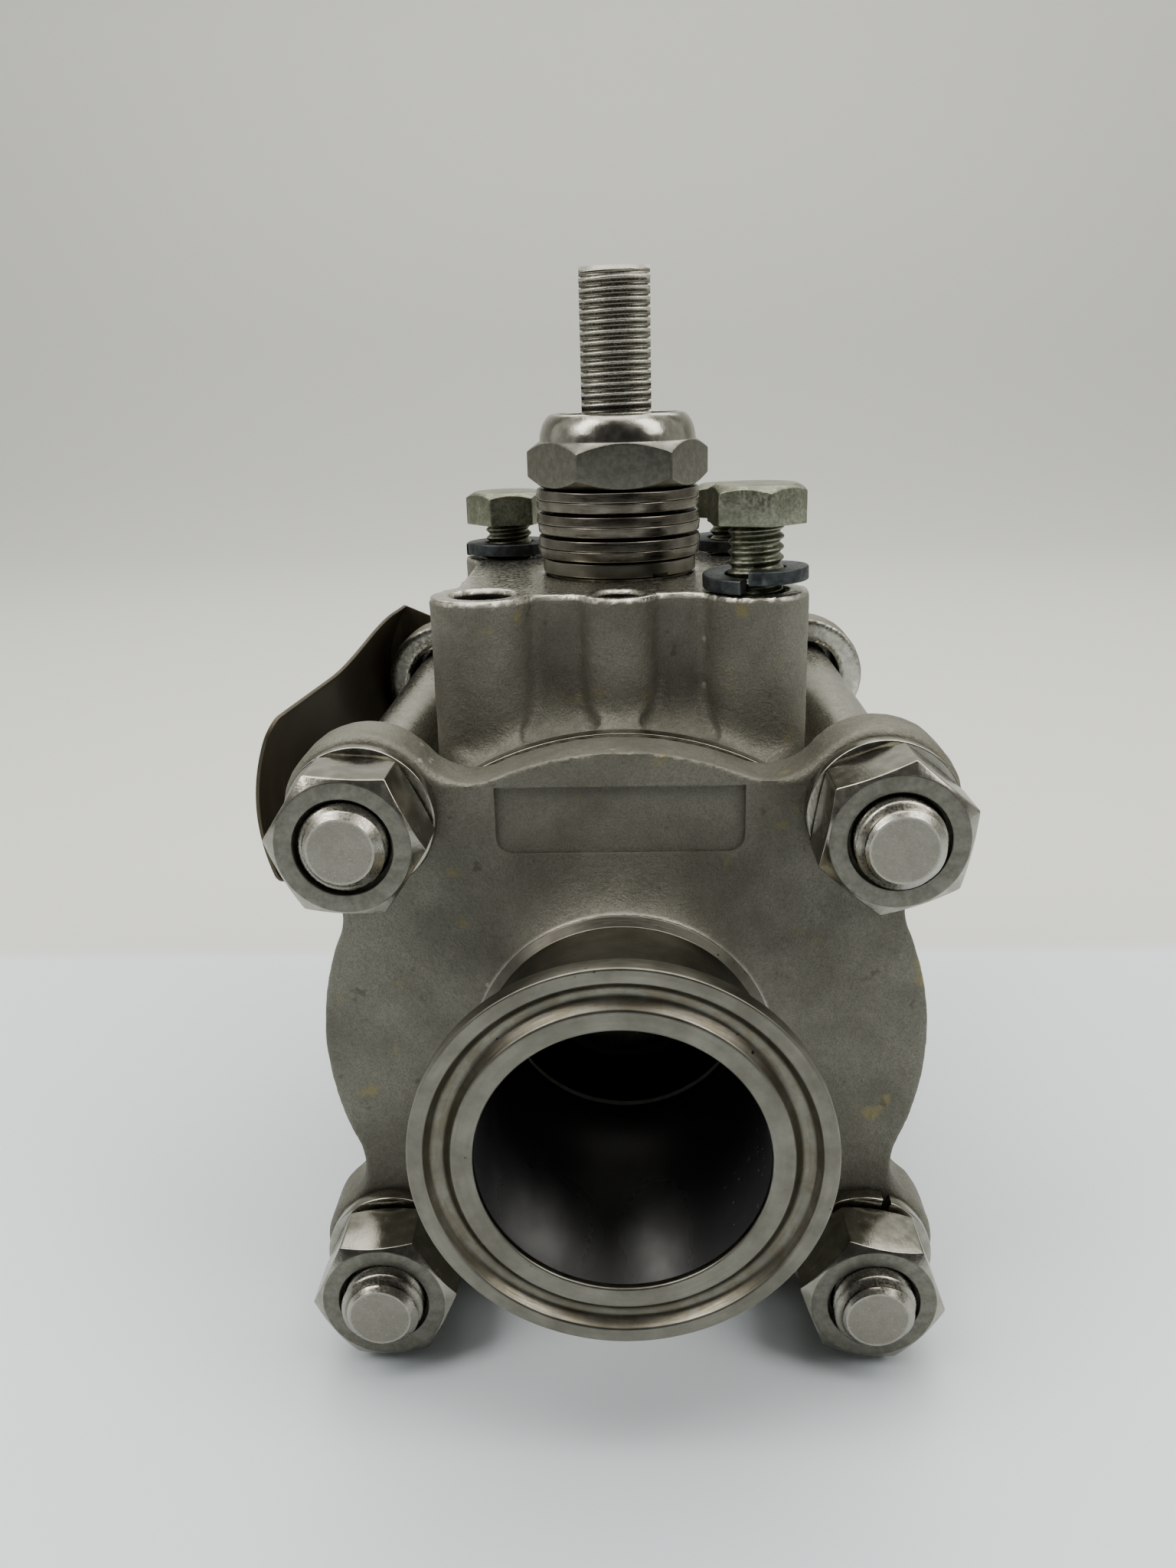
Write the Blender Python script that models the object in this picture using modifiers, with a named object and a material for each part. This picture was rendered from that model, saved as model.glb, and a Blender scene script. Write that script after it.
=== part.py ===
"""Three-piece full-bore ball valve with clamp ends and a bare stem.

Metres, +Z up. The origin is the ball's centre, where the flow axis (Y) meets the
stem axis (Z). The front end fitting points along -Y. The valve is closed at rest.
"""

import math

import bmesh
import bpy
from mathutils import Matrix, Vector

# ---- driving dimensions -------------------------------------------------------
GAP = 0.0003            # clearance between pieces that touch
BORE_R = 0.0174         # 1 1/2 in tube bore
END_Y = 0.0700          # clamp faces, either side of the stem axis
FERRULE_R = 0.02525
FERRULE_RIM = 0.0028    # straight edge of the clamp ferrule
FERRULE_TAPER = 0.0017  # length of its 20 degree back
GROOVE_OUT_R = 0.0235   # clamp gasket groove
GROOVE_IN_R = 0.0201
GROOVE_DEPTH = 0.0014
NECK_R = 0.01905
NECK_END_Y = 0.0448     # where the turned neck meets the casting
FLANGE_FRONT = 0.0415
FLANGE_BACK = 0.0333
FLANGE_R = 0.0414
FLANGE_BELL_R = 0.0300
SPIGOT_R = 0.0292       # on the back of the flange, inside the body bore
SPIGOT_Y = 0.0328
FILLET_R = 0.0080       # between the flange disc and a bolt lug
PANEL_SIZE = (0.0325, 0.0092)
PANEL_Z = 0.0323
PANEL_DEPTH = 0.0004

TIE = 0.0335            # tie bolt position, along X and along Z
LUG_R = 0.0106
LUG_HOLE_R = 0.0065
TIE_SHANK_R = 0.00555
TIE_HEAD_AF = 0.0159
TIE_HEAD_H = 0.0071
TIE_LENGTH = 0.0985
TIE_NUT_AF = 0.01746
TIE_NUT_H = 0.0093
TIE_WASHER_R = 0.00985
TIE_WASHER_T = 0.0024

BARREL_R = 0.0385
BODY_RIM_R = 0.0412
BODY_RIM_W = 0.0045
BODY_BORE_R = 0.0296
SEAL_POCKET_R = 0.0335
SEAL_POCKET_DEPTH = 0.0027
PAD_Z = 0.0586          # actuator pad
BOSS_X = 0.0190
BOSS_Y = 0.0205
BOSS_R = 0.0074
BOSS_HOLE_R = 0.00425
BOSS_HOLE_DEPTH = 0.0190
MID_BOSS_Y = 0.0215
MID_BOSS_R = 0.0054
MID_HOLE_R = 0.0033
MID_HOLE_DEPTH = 0.0110
WEB_Y = 0.0215          # recessed wall between the front bosses
WEB_X = 0.0235
STUFFING_R = 0.0113
STUFFING_FLOOR = 0.0380
STEM_HOLE_R = 0.0083
SHOULDER_RECESS_R = 0.0118
SHOULDER_RECESS_Z = 0.0353

BALL_R = 0.0290
SLOT_W = 0.0090
SLOT_LENGTH = 0.0240
SLOT_FLOOR = 0.0228
SEAT_R = 0.0292
SEAT_FACE_R = (0.0245, 0.0200)  # the spherical face's outer and inner edges
SEAT_LIP_Y = 0.0288     # where the seat's bore ends and flares towards the ball

STEM_R = 0.00794
STEM_TOP = 0.1019
STEM_FLAT_X = 0.00505
STEM_FLAT_FROM = 0.0795
TANG = (0.0080, 0.0170)
TANG_END = 0.0232
SHOULDER_R = 0.0110
SHOULDER_Z = (0.0295, 0.0328)
PACKING_T = 0.0030
GLAND_R = 0.0110
GLAND_TOP = 0.0611
SPRING_R = 0.0125
SPRING_T = 0.0013
SPRING_DISH = 0.0001
SPRING_BOTTOM = 0.0614
SPRING_PAIR = 0.00347   # rise from one pair of spring washers to the next
STEM_NUT_Z = 0.0716
STEM_NUT_AF = 0.0238
STEM_NUT_HEX = 0.0066
STEM_NUT_H = 0.0105
STEM_NUT_TURN = -115
INSERT_R = 0.0100

ACT_R = 0.00385         # actuator bolts
ACT_LENGTH = 0.01905
ACT_HEAD_AF = 0.0127
ACT_HEAD_H = 0.0052
ACT_WASHER_R = 0.0073
ACT_WASHER_T = 0.0020

PLATE_T = 0.0012
PLATE_FRONT_Y = -0.0300
PLATE_REAR_Y = 0.0418
PLATE_FRONT_X = -0.0478
PLATE_REAR_X = -0.0416
PLATE_BULGE = (0.0027, 0.0038)
PLATE_LEAN = 0.0010      # how far the leaf's front foot stands out past its top
PLATE_TOP = (0.0431, 0.0466)
PLATE_BOTTOM = (0.0186, 0.0240)
TAB_R = 0.0095

CORNERS = {
    "upper_left": (-1, 1),
    "upper_right": (1, 1),
    "lower_left": (-1, -1),
    "lower_right": (1, -1),
}
NUT_TURN = {"upper_left": -4, "upper_right": 20, "lower_left": 4, "lower_right": -10}
ACTUATOR_BOLTS = {
    "front_right": (1, -1, 0.0677, 45),
    "rear_left": (-1, 1, 0.0641, 10),
    "rear_right": (1, 1, 0.0645, 25),
}
BIG = 32                # facets round a large turned piece
MEDIUM = 24             # facets round the stem and what is on it
SMALL = 16              # facets round a fastener


# ---- scene and materials ------------------------------------------------------
def clear_scene():
    for obj in list(bpy.data.objects):
        bpy.data.objects.remove(obj, do_unlink=True)


def collection(name):
    made = bpy.data.collections.new(name)
    bpy.context.scene.collection.children.link(made)
    return made


def material(name, color, roughness, metallic):
    made = bpy.data.materials.new(name)
    made.use_nodes = True
    shader = made.node_tree.nodes["Principled BSDF"]
    shader.inputs["Base Color"].default_value = (*color, 1.0)
    shader.inputs["Roughness"].default_value = roughness
    shader.inputs["Metallic"].default_value = metallic
    return made


def cast_stainless():
    return material("cast_stainless", (0.33, 0.32, 0.29), 0.5, 1.0)


def turned_stainless():
    return material("turned_stainless", (0.52, 0.50, 0.46), 0.25, 1.0)


def polished_stainless():
    return material("polished_stainless", (0.60, 0.58, 0.55), 0.18, 1.0)


def spring_steel():
    return material("spring_steel", (0.36, 0.34, 0.32), 0.32, 1.0)


def zinc_plated():
    return material("zinc_plated", (0.42, 0.43, 0.33), 0.42, 1.0)


def dark_steel():
    return material("dark_steel", (0.13, 0.14, 0.14), 0.5, 1.0)


def plate_steel():
    return material("plate_steel", (0.16, 0.14, 0.11), 0.28, 1.0)


def ptfe():
    return material("ptfe", (0.85, 0.85, 0.82), 0.5, 0.0)


def filled_ptfe():
    return material("filled_ptfe", (0.045, 0.035, 0.028), 0.45, 0.0)


def nylon():
    return material("nylon", (0.10, 0.07, 0.25), 0.4, 0.0)


# ---- modelling helpers --------------------------------------------------------
def mesh_object(name, bm, where, finish=None):
    mesh = bpy.data.meshes.new(name)
    bmesh.ops.recalc_face_normals(bm, faces=bm.faces)
    bm.to_mesh(mesh)
    bm.free()
    mesh.shade_smooth()
    mesh.set_sharp_from_angle(angle=math.radians(35))
    obj = bpy.data.objects.new(name, mesh)
    where.objects.link(obj)
    if finish:
        obj.data.materials.append(finish)
    else:
        hide(obj)
    return obj


def hide(obj):
    obj.hide_render = True
    obj.display_type = "WIRE"


def turned(name, profile, where, finish=None, axis="Z", steps=MEDIUM):
    """A solid of revolution: profile is (radius, height), down the outside first."""
    mesh = bpy.data.meshes.new(name)
    points = [(r, 0.0, z) for r, z in profile]
    count = len(points)
    edges = [(i, i + 1) for i in range(count - 1)]
    if profile[0][0] > 0:
        edges.append((count - 1, 0))
    mesh.from_pydata(points, edges, [])
    obj = bpy.data.objects.new(name, mesh)
    where.objects.link(obj)
    screw = obj.modifiers.new("Screw", "SCREW")
    screw.steps = steps
    screw.render_steps = steps
    screw.use_merge_vertices = True
    screw.merge_threshold = 0.00001
    if axis == "Y":
        obj.rotation_euler = (-math.pi / 2, 0, 0)
    if finish:
        obj.data.materials.append(finish)
    else:
        hide(obj)
    return obj


def ring_profile(outer, inner, low, high):
    return [(outer, high), (outer, low), (inner, low), (inner, high)]


def rod_profile(radius, low, high, bevel=0.0):
    if not bevel:
        return [(0, high), (radius, high), (radius, low), (0, low)]
    return [(0, high), (radius - bevel, high), (radius, high - bevel),
            (radius, low + bevel), (radius - bevel, low), (0, low)]


def box(name, low, high, where, finish=None):
    bm = bmesh.new()
    bmesh.ops.create_cube(bm, size=1.0)
    size = Vector(high) - Vector(low)
    middle = (Vector(high) + Vector(low)) / 2
    bmesh.ops.scale(bm, vec=size, verts=bm.verts)
    bmesh.ops.translate(bm, vec=middle, verts=bm.verts)
    return mesh_object(name, bm, where, finish)


def hex_prism(name, across_flats, low, high, where, turn=0.0):
    """A hexagonal bar along Z with a corner at turn degrees from X."""
    bm = bmesh.new()
    radius = across_flats / math.sqrt(3)
    bmesh.ops.create_cone(bm, cap_ends=True, segments=6, radius1=radius, radius2=radius,
                          depth=high - low)
    bmesh.ops.translate(bm, vec=(0, 0, (low + high) / 2), verts=bm.verts)
    bmesh.ops.rotate(bm, cent=(0, 0, 0), verts=bm.verts,
                     matrix=Matrix.Rotation(math.radians(turn - 30), 3, "Z"))
    return mesh_object(name, bm, where)


def boolean(obj, other, operation="DIFFERENCE"):
    modifier = obj.modifiers.new(operation.title(), "BOOLEAN")
    modifier.operation = operation
    modifier.solver = "EXACT"
    modifier.object = other


def baked(obj, name, where, finish):
    """A plain mesh object from an object's evaluated shape, in world space."""
    graph = bpy.context.evaluated_depsgraph_get()
    mesh = bpy.data.meshes.new_from_object(obj.evaluated_get(graph))
    mesh.transform(obj.matrix_world)
    bm = bmesh.new()
    bm.from_mesh(mesh)
    bmesh.ops.remove_doubles(bm, verts=bm.verts, dist=0.000005)
    bmesh.ops.recalc_face_normals(bm, faces=bm.faces)
    bm.to_mesh(mesh)
    bm.free()
    mesh.materials.clear()
    made = bpy.data.objects.new(name, mesh)
    where.objects.link(made)
    if finish:
        mesh.materials.append(finish)
    else:
        hide(made)
    return made


def solid_outline(name, points, depth, where):
    """A flat closed outline in XZ, extruded to depth along Y about y = 0."""
    curve = bpy.data.curves.new(name, "CURVE")
    curve.dimensions = "2D"
    curve.fill_mode = "BOTH"
    curve.extrude = depth / 2
    spline = curve.splines.new("POLY")
    spline.points.add(len(points) - 1)
    for point, (x, z) in zip(spline.points, points):
        point.co = (x, z, 0, 1)
    spline.use_cyclic_u = True
    guide = bpy.data.objects.new(name + "_outline", curve)
    guide.rotation_euler = (math.pi / 2, 0, 0)
    where.objects.link(guide)
    bpy.context.view_layer.update()
    made = baked(guide, name, where, None)
    bpy.data.objects.remove(guide, do_unlink=True)
    return made


def arc(centre, radius, start, end, steps):
    """Points round a centre, from one angle to another in degrees, ends included."""
    points = []
    for i in range(steps + 1):
        angle = math.radians(start + (end - start) * i / steps)
        points.append((centre[0] + radius * math.cos(angle), centre[1] + radius * math.sin(angle)))
    return points


# ---- end fittings -------------------------------------------------------------
def flange_outline():
    """The disc with four bolt lugs, joined by fillets tangent to both."""
    reach = TIE * math.sqrt(2)
    to_disc = FLANGE_R + FILLET_R
    to_lug = LUG_R + FILLET_R
    cos_half = (to_disc ** 2 + reach ** 2 - to_lug ** 2) / (2 * to_disc * reach)
    half = math.degrees(math.acos(cos_half))
    points = []
    for quarter in range(4):
        middle = 45 + 90 * quarter
        lug = (reach * math.cos(math.radians(middle)), reach * math.sin(math.radians(middle)))
        first = math.radians(middle - half)
        second = math.radians(middle + half)
        before = (to_disc * math.cos(first), to_disc * math.sin(first))
        after = (to_disc * math.cos(second), to_disc * math.sin(second))
        to_lug_first = math.degrees(math.atan2(lug[1] - before[1], lug[0] - before[0]))
        to_lug_second = math.degrees(math.atan2(lug[1] - after[1], lug[0] - after[0]))
        start = middle - half + 180
        points += arc(before, FILLET_R, start, start + turn_between(start, to_lug_first), 4)
        leave = to_lug_first + 180
        points += arc(lug, LUG_R, leave, leave + turn_between(leave, to_lug_second + 180) % 360, 10)[1:-1]
        end = middle + half + 180
        points += arc(after, FILLET_R, to_lug_second, to_lug_second + turn_between(to_lug_second, end), 4)
        points += arc((0, 0), FLANGE_R, middle + half, middle + 90 - half, 5)[1:-1]
    return points


def turn_between(start, end):
    """The shorter signed turn from one angle to another, in degrees."""
    return (end - start + 180) % 360 - 180


def ferrule_profile():
    """The neck and clamp ferrule along Y, solid to the axis: the bore is cut afterwards."""
    face = END_Y
    rim_end = face - FERRULE_RIM
    taper_end = rim_end - FERRULE_TAPER
    groove_floor = face - GROOVE_DEPTH
    bell = []
    for i in range(1, 4):
        share = i / 3
        radius = 0.0203 + (FLANGE_BELL_R - 0.0203) * share ** 1.6
        height = NECK_END_Y + (FLANGE_FRONT - 0.0001 - NECK_END_Y) * math.sin(share * math.pi / 2)
        bell.append((radius, height))
    return [
        (0, face),
        (GROOVE_IN_R, face),
        (GROOVE_IN_R + 0.0006, groove_floor),
        (GROOVE_OUT_R - 0.0006, groove_floor),
        (GROOVE_OUT_R, face),
        (FERRULE_R, face),
        (FERRULE_R, rim_end),
        (NECK_R + 0.0016, taper_end),
        (NECK_R, taper_end - 0.0016),
        (NECK_R, NECK_END_Y + 0.0006),
        (0.0203, NECK_END_Y),
        *bell,
        (FLANGE_BELL_R, FLANGE_BACK + 0.0010),
        (SPIGOT_R, FLANGE_BACK + 0.0010),
        (SPIGOT_R, SPIGOT_Y),
        (0, SPIGOT_Y),
    ]


def end_fitting(name, side, parts, cutters, finish):
    """side is -1 for the front fitting and 1 for the rear one."""
    thick = FLANGE_FRONT - FLANGE_BACK
    flange = solid_outline(name + "_flange", flange_outline(), thick, cutters)
    flange.location.y = side * (FLANGE_FRONT + FLANGE_BACK) / 2
    neck = turned(name + "_neck", ferrule_profile(), cutters, axis="Y", steps=BIG)
    if side < 0:
        neck.rotation_euler = (math.pi / 2, 0, 0)
    boolean(flange, neck, "UNION")
    bore = turned(name + "_bore", rod_profile(BORE_R, 0.020, 0.075), cutters, axis="Y", steps=BIG)
    if side < 0:
        bore.rotation_euler = (math.pi / 2, 0, 0)
    boolean(flange, bore)
    for corner, (x, z) in CORNERS.items():
        hole = turned(f"{name}_hole_{corner}", rod_profile(LUG_HOLE_R, 0.030, 0.045), cutters,
                      axis="Y", steps=SMALL)
        hole.location = (x * TIE, 0, z * TIE)
        if side < 0:
            hole.rotation_euler = (math.pi / 2, 0, 0)
        boolean(flange, hole)
    if side < 0:
        half = PANEL_SIZE[0] / 2
        panel = box(name + "_panel", (-half, -0.045, PANEL_Z - PANEL_SIZE[1] / 2),
                    (half, -FLANGE_FRONT + PANEL_DEPTH, PANEL_Z + PANEL_SIZE[1] / 2), cutters)
        boolean(flange, panel)
    bpy.context.view_layer.update()
    return baked(flange, name, parts, finish)


# ---- centre casting -----------------------------------------------------------
def barrel_profile():
    half = FLANGE_BACK - GAP
    rim = half - BODY_RIM_W
    return [
        (0, half),
        (BODY_RIM_R - 0.0006, half),
        (BODY_RIM_R, half - 0.0006),
        (BODY_RIM_R, rim),
        (BARREL_R, rim - 0.0022),
        (BARREL_R, -rim + 0.0022),
        (BODY_RIM_R, -rim),
        (BODY_RIM_R, -half + 0.0006),
        (BODY_RIM_R - 0.0006, -half),
        (0, -half),
    ]


def cavity_profile():
    half = FLANGE_BACK
    pocket = FLANGE_BACK - GAP - SEAL_POCKET_DEPTH
    return [
        (0, half),
        (SEAL_POCKET_R, half),
        (SEAL_POCKET_R, pocket),
        (BODY_BORE_R, pocket),
        (BODY_BORE_R, -pocket),
        (SEAL_POCKET_R, -pocket),
        (SEAL_POCKET_R, -half),
        (0, -half),
    ]


def boss(name, x, y, radius, low, where, steps):
    made = turned(name, rod_profile(radius, low, PAD_Z), where, steps=steps)
    made.location = (x, y, 0)
    return made


def valve_body(parts, cutters, finish):
    barrel = turned("barrel", barrel_profile(), cutters, axis="Y", steps=40)
    pad = box("pad", (-WEB_X, -WEB_Y, 0.020), (WEB_X, WEB_Y, PAD_Z), cutters)
    boolean(barrel, pad, "UNION")
    for x in (-1, 1):
        for y in (-1, 1):
            corner = boss(f"boss_{x}_{y}", x * BOSS_X, y * BOSS_Y, BOSS_R, 0.025, cutters, MEDIUM)
            boolean(barrel, corner, "UNION")
    for y in (-1, 1):
        middle = boss(f"middle_boss_{y}", 0, y * MID_BOSS_Y, MID_BOSS_R, 0.032, cutters, SMALL)
        boolean(barrel, middle, "UNION")
    boolean(barrel, turned("cavity", cavity_profile(), cutters, axis="Y", steps=40))
    boolean(barrel, turned("stem_way", stem_way_profile(), cutters))
    for x in (-1, 1):
        for y in (-1, 1):
            hole = turned(f"tapped_{x}_{y}",
                          rod_profile(BOSS_HOLE_R, PAD_Z - BOSS_HOLE_DEPTH, PAD_Z + 0.002),
                          cutters, steps=SMALL)
            hole.location = (x * BOSS_X, y * BOSS_Y, 0)
            boolean(barrel, hole)
    for y in (-1, 1):
        hole = turned(f"middle_tapped_{y}",
                      rod_profile(MID_HOLE_R, PAD_Z - MID_HOLE_DEPTH, PAD_Z + 0.002),
                      cutters, steps=SMALL)
        hole.location = (0, y * MID_BOSS_Y, 0)
        boolean(barrel, hole)
    bpy.context.view_layer.update()
    return baked(barrel, "body", parts, finish)


def stem_way_profile():
    """Stuffing box, stem hole and shoulder recess, as one cutter."""
    return [
        (0, PAD_Z + 0.003),
        (STUFFING_R, PAD_Z + 0.003),
        (STUFFING_R, STUFFING_FLOOR),
        (STEM_HOLE_R, STUFFING_FLOOR),
        (STEM_HOLE_R, SHOULDER_RECESS_Z),
        (SHOULDER_RECESS_R, SHOULDER_RECESS_Z),
        (SHOULDER_RECESS_R, 0.020),
        (0, 0.020),
    ]


# ---- ball, seats and seals ----------------------------------------------------
def ball(parts, cutters, finish):
    """The bore lies along X, across the pipe, and the slot along Y."""
    edge = math.degrees(math.acos(BORE_R / BALL_R))
    outside = arc((0, 0), BALL_R, edge, -edge, 14)
    made = turned("ball_ring", outside, cutters, steps=BIG)
    made.rotation_euler = (0, math.pi / 2, 0)
    slot = box("ball_slot", (-SLOT_W / 2, -SLOT_LENGTH / 2, SLOT_FLOOR),
               (SLOT_W / 2, SLOT_LENGTH / 2, BALL_R + 0.001), cutters)
    boolean(made, slot)
    bpy.context.view_layer.update()
    return baked(made, "ball", parts, finish)


def seat(name, side, parts, finish):
    """A ring whose face follows the ball, flared in from the lip of its bore."""
    contact = BALL_R + GAP
    back = SPIGOT_Y - GAP
    outer_angle = math.degrees(math.acos(SEAT_FACE_R[0] / contact))
    inner_angle = math.degrees(math.acos(SEAT_FACE_R[1] / contact))
    face = arc((0, 0), contact, outer_angle, inner_angle, 3)
    profile = [(SEAT_R, back), (SEAT_R, face[0][1]), *face, (BORE_R, SEAT_LIP_Y), (BORE_R, back)]
    made = turned(name, profile, parts, finish, axis="Y", steps=BIG)
    if side < 0:
        made.rotation_euler = (math.pi / 2, 0, 0)
    return made


def body_seal(name, side, parts, finish):
    back = FLANGE_BACK - GAP
    profile = ring_profile(SEAL_POCKET_R - GAP, SPIGOT_R + 2 * GAP, back - SEAL_POCKET_DEPTH + GAP,
                           back)
    made = turned(name, profile, parts, finish, axis="Y", steps=MEDIUM)
    if side < 0:
        made.rotation_euler = (math.pi / 2, 0, 0)
    return made


# ---- stem stack ---------------------------------------------------------------
def stem(parts, cutters, finish):
    profile = [
        (0, STEM_TOP),
        (STEM_R - 0.0008, STEM_TOP),
        (STEM_R, STEM_TOP - 0.0008),
        (STEM_R, SHOULDER_Z[1]),
        (SHOULDER_R, SHOULDER_Z[1]),
        (SHOULDER_R, SHOULDER_Z[0]),
        (0, SHOULDER_Z[0]),
    ]
    shaft = turned("stem_shaft", profile, cutters)
    tang = box("stem_tang", (-TANG[0] / 2, -TANG[1] / 2, TANG_END),
               (TANG[0] / 2, TANG[1] / 2, SHOULDER_Z[0] + 0.001), cutters)
    boolean(shaft, tang, "UNION")
    for side in (-1, 1):
        inner = side * STEM_FLAT_X
        outer = side * 0.012
        flat = box(f"stem_flat_{side}", (min(inner, outer), -0.012, STEM_FLAT_FROM),
                   (max(inner, outer), 0.012, STEM_TOP + 0.002), cutters)
        boolean(shaft, flat)
    bpy.context.view_layer.update()
    return baked(shaft, "stem", parts, finish)


def thrust_washer(parts, finish):
    low = SHOULDER_Z[1] + GAP
    profile = ring_profile(SHOULDER_R, STEM_R + GAP, low, SHOULDER_RECESS_Z - GAP)
    return turned("stem_thrust_washer", profile, parts, finish, steps=SMALL)


def packing_ring(number, parts, finish):
    low = STUFFING_FLOOR + GAP + (number - 1) * (PACKING_T + GAP)
    profile = ring_profile(STUFFING_R - GAP, STEM_R + GAP, low, low + PACKING_T)
    return turned(f"stem_packing_ring_{number}", profile, parts, finish, steps=SMALL)


def gland_follower(parts, finish):
    low = STUFFING_FLOOR + GAP + 3 * (PACKING_T + GAP)
    profile = [
        (GLAND_R - 0.0004, GLAND_TOP),
        (GLAND_R, GLAND_TOP - 0.0004),
        (GLAND_R, low),
        (STEM_R + GAP, low),
        (STEM_R + GAP, GLAND_TOP),
    ]
    return turned("gland_follower", profile, parts, finish)


def spring_washer(number, parts, finish):
    """Numbered from the bottom; each pair meets at its outer edge."""
    pair = (number - 1) // 2
    upper = (number - 1) % 2
    outer_low = SPRING_BOTTOM + pair * SPRING_PAIR + upper * (SPRING_T + GAP)
    rise = SPRING_DISH if upper else -SPRING_DISH
    inner = STEM_R + 2 * GAP
    profile = [
        (SPRING_R, outer_low + SPRING_T),
        (SPRING_R, outer_low),
        (inner, outer_low + rise),
        (inner, outer_low + rise + SPRING_T),
    ]
    return turned(f"spring_washer_{number}", profile, parts, finish)


def chamfered_hex(name, across_flats, low, high, where, cutters, turn=0.0, ends=(True, True)):
    """A hexagon along Z whose corners are turned off at the ends asked for."""
    prism = hex_prism(name + "_prism", across_flats, low, high, cutters, turn)
    corner = across_flats / math.sqrt(3)
    flat = across_flats / 2 * 0.985
    drop = (corner - flat) * math.tan(math.radians(30))
    wide = corner + 0.001
    extra = (wide - corner) * math.tan(math.radians(30))
    profile = []
    if ends[1]:
        profile += [(0, high), (flat, high), (wide, high - drop - extra)]
    else:
        profile += [(0, high + 0.001), (wide, high + 0.001)]
    if ends[0]:
        profile += [(wide, low + drop + extra), (flat, low), (0, low)]
    else:
        profile += [(wide, low - 0.001), (0, low - 0.001)]
    cone = turned(name + "_chamfer", profile, cutters)
    boolean(prism, cone, "INTERSECT")
    return prism


def stem_nut(parts, cutters, finish):
    """A prevailing-torque nut: a hexagon under a dome that holds the nylon ring."""
    top_hex = STEM_NUT_Z + STEM_NUT_HEX
    top = STEM_NUT_Z + STEM_NUT_H
    made = chamfered_hex("stem_nut", STEM_NUT_AF, STEM_NUT_Z, top_hex, parts, cutters, turn=STEM_NUT_TURN)
    dome = turned("stem_nut_dome", [
        (0, top),
        (0.0098, top),
        (0.0107, top - 0.0006),
        (0.0112, top - 0.0016),
        (0.0116, top_hex - 0.0002),
        (0.0116, top_hex - 0.0015),
        (0, top_hex - 0.0015),
    ], cutters)
    boolean(made, dome, "UNION")
    hole = turned("stem_nut_bore", [
        (0, top + 0.001),
        (0.0092, top + 0.001),
        (0.0092, top - 0.0007),
        (INSERT_R + GAP, top - 0.0007),
        (INSERT_R + GAP, top - 0.0032),
        (STEM_R + GAP, top - 0.0032),
        (STEM_R + GAP, STEM_NUT_Z - 0.001),
        (0, STEM_NUT_Z - 0.001),
    ], cutters)
    boolean(made, hole)
    bpy.context.view_layer.update()
    return baked(made, "stem_nut", parts, finish)


def stem_nut_insert(parts, finish):
    top = STEM_NUT_Z + STEM_NUT_H - 0.0010
    profile = ring_profile(INSERT_R, STEM_R + GAP, top - 0.0019, top)
    return turned("stem_nut_insert", profile, parts, finish, steps=SMALL)


# ---- fasteners ----------------------------------------------------------------
def tie_bolt(corner, parts, cutters, finish):
    x, z = CORNERS[corner]
    seat_y = FLANGE_FRONT + GAP
    if corner == "upper_left":
        seat_y += PLATE_T + GAP
    name = "tie_bolt_" + corner
    head = chamfered_hex(name, TIE_HEAD_AF, -TIE_HEAD_H, 0, parts, cutters, turn=11 * x * z,
                         ends=(True, False))
    shank = turned(name + "_shank", [
        (0, TIE_LENGTH),
        (TIE_SHANK_R - 0.0010, TIE_LENGTH),
        (TIE_SHANK_R, TIE_LENGTH - 0.0010),
        (TIE_SHANK_R, -0.0010),
        (0, -0.0010),
    ], cutters, steps=SMALL)
    boolean(head, shank, "UNION")
    bpy.context.view_layer.update()
    made = baked(head, name, parts, finish)
    made.rotation_euler = (math.pi / 2, 0, 0)
    made.location = (x * TIE, seat_y, z * TIE)
    return made


def tie_nut(corner, parts, cutters, finish):
    x, z = CORNERS[corner]
    name = "tie_nut_" + corner
    low = FLANGE_FRONT + 2 * GAP + TIE_WASHER_T
    body = chamfered_hex(name, TIE_NUT_AF, 0, TIE_NUT_H, parts, cutters, turn=NUT_TURN[corner])
    boolean(body, turned(name + "_bore", rod_profile(TIE_SHANK_R + GAP, -0.001, TIE_NUT_H + 0.001),
                         cutters, steps=SMALL))
    bpy.context.view_layer.update()
    made = baked(body, name, parts, finish)
    made.rotation_euler = (math.pi / 2, 0, 0)
    made.location = (x * TIE, -low, z * TIE)
    return made


def split_ring(name, outer, inner, thick, split_turn, cutters):
    """A flat split spring ring along Z, standing on z = 0."""
    ring = turned(name + "_ring", ring_profile(outer, inner, 0, thick), cutters, steps=SMALL)
    slot = box(name + "_slot", (inner - 0.002, -0.0005, -0.001), (outer + 0.001, 0.0005, thick + 0.001),
               cutters)
    slot.rotation_euler = (0, 0, math.radians(split_turn))
    boolean(ring, slot)
    return ring


def tie_lock_washer(corner, parts, cutters, finish):
    x, z = CORNERS[corner]
    name = "tie_lock_washer_" + corner
    ring = split_ring(name, TIE_WASHER_R, TIE_SHANK_R + 2 * GAP, TIE_WASHER_T, 93 * x, cutters)
    bpy.context.view_layer.update()
    made = baked(ring, name, parts, finish)
    made.rotation_euler = (math.pi / 2, 0, 0)
    made.location = (x * TIE, -FLANGE_FRONT - GAP, z * TIE)
    return made


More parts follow.
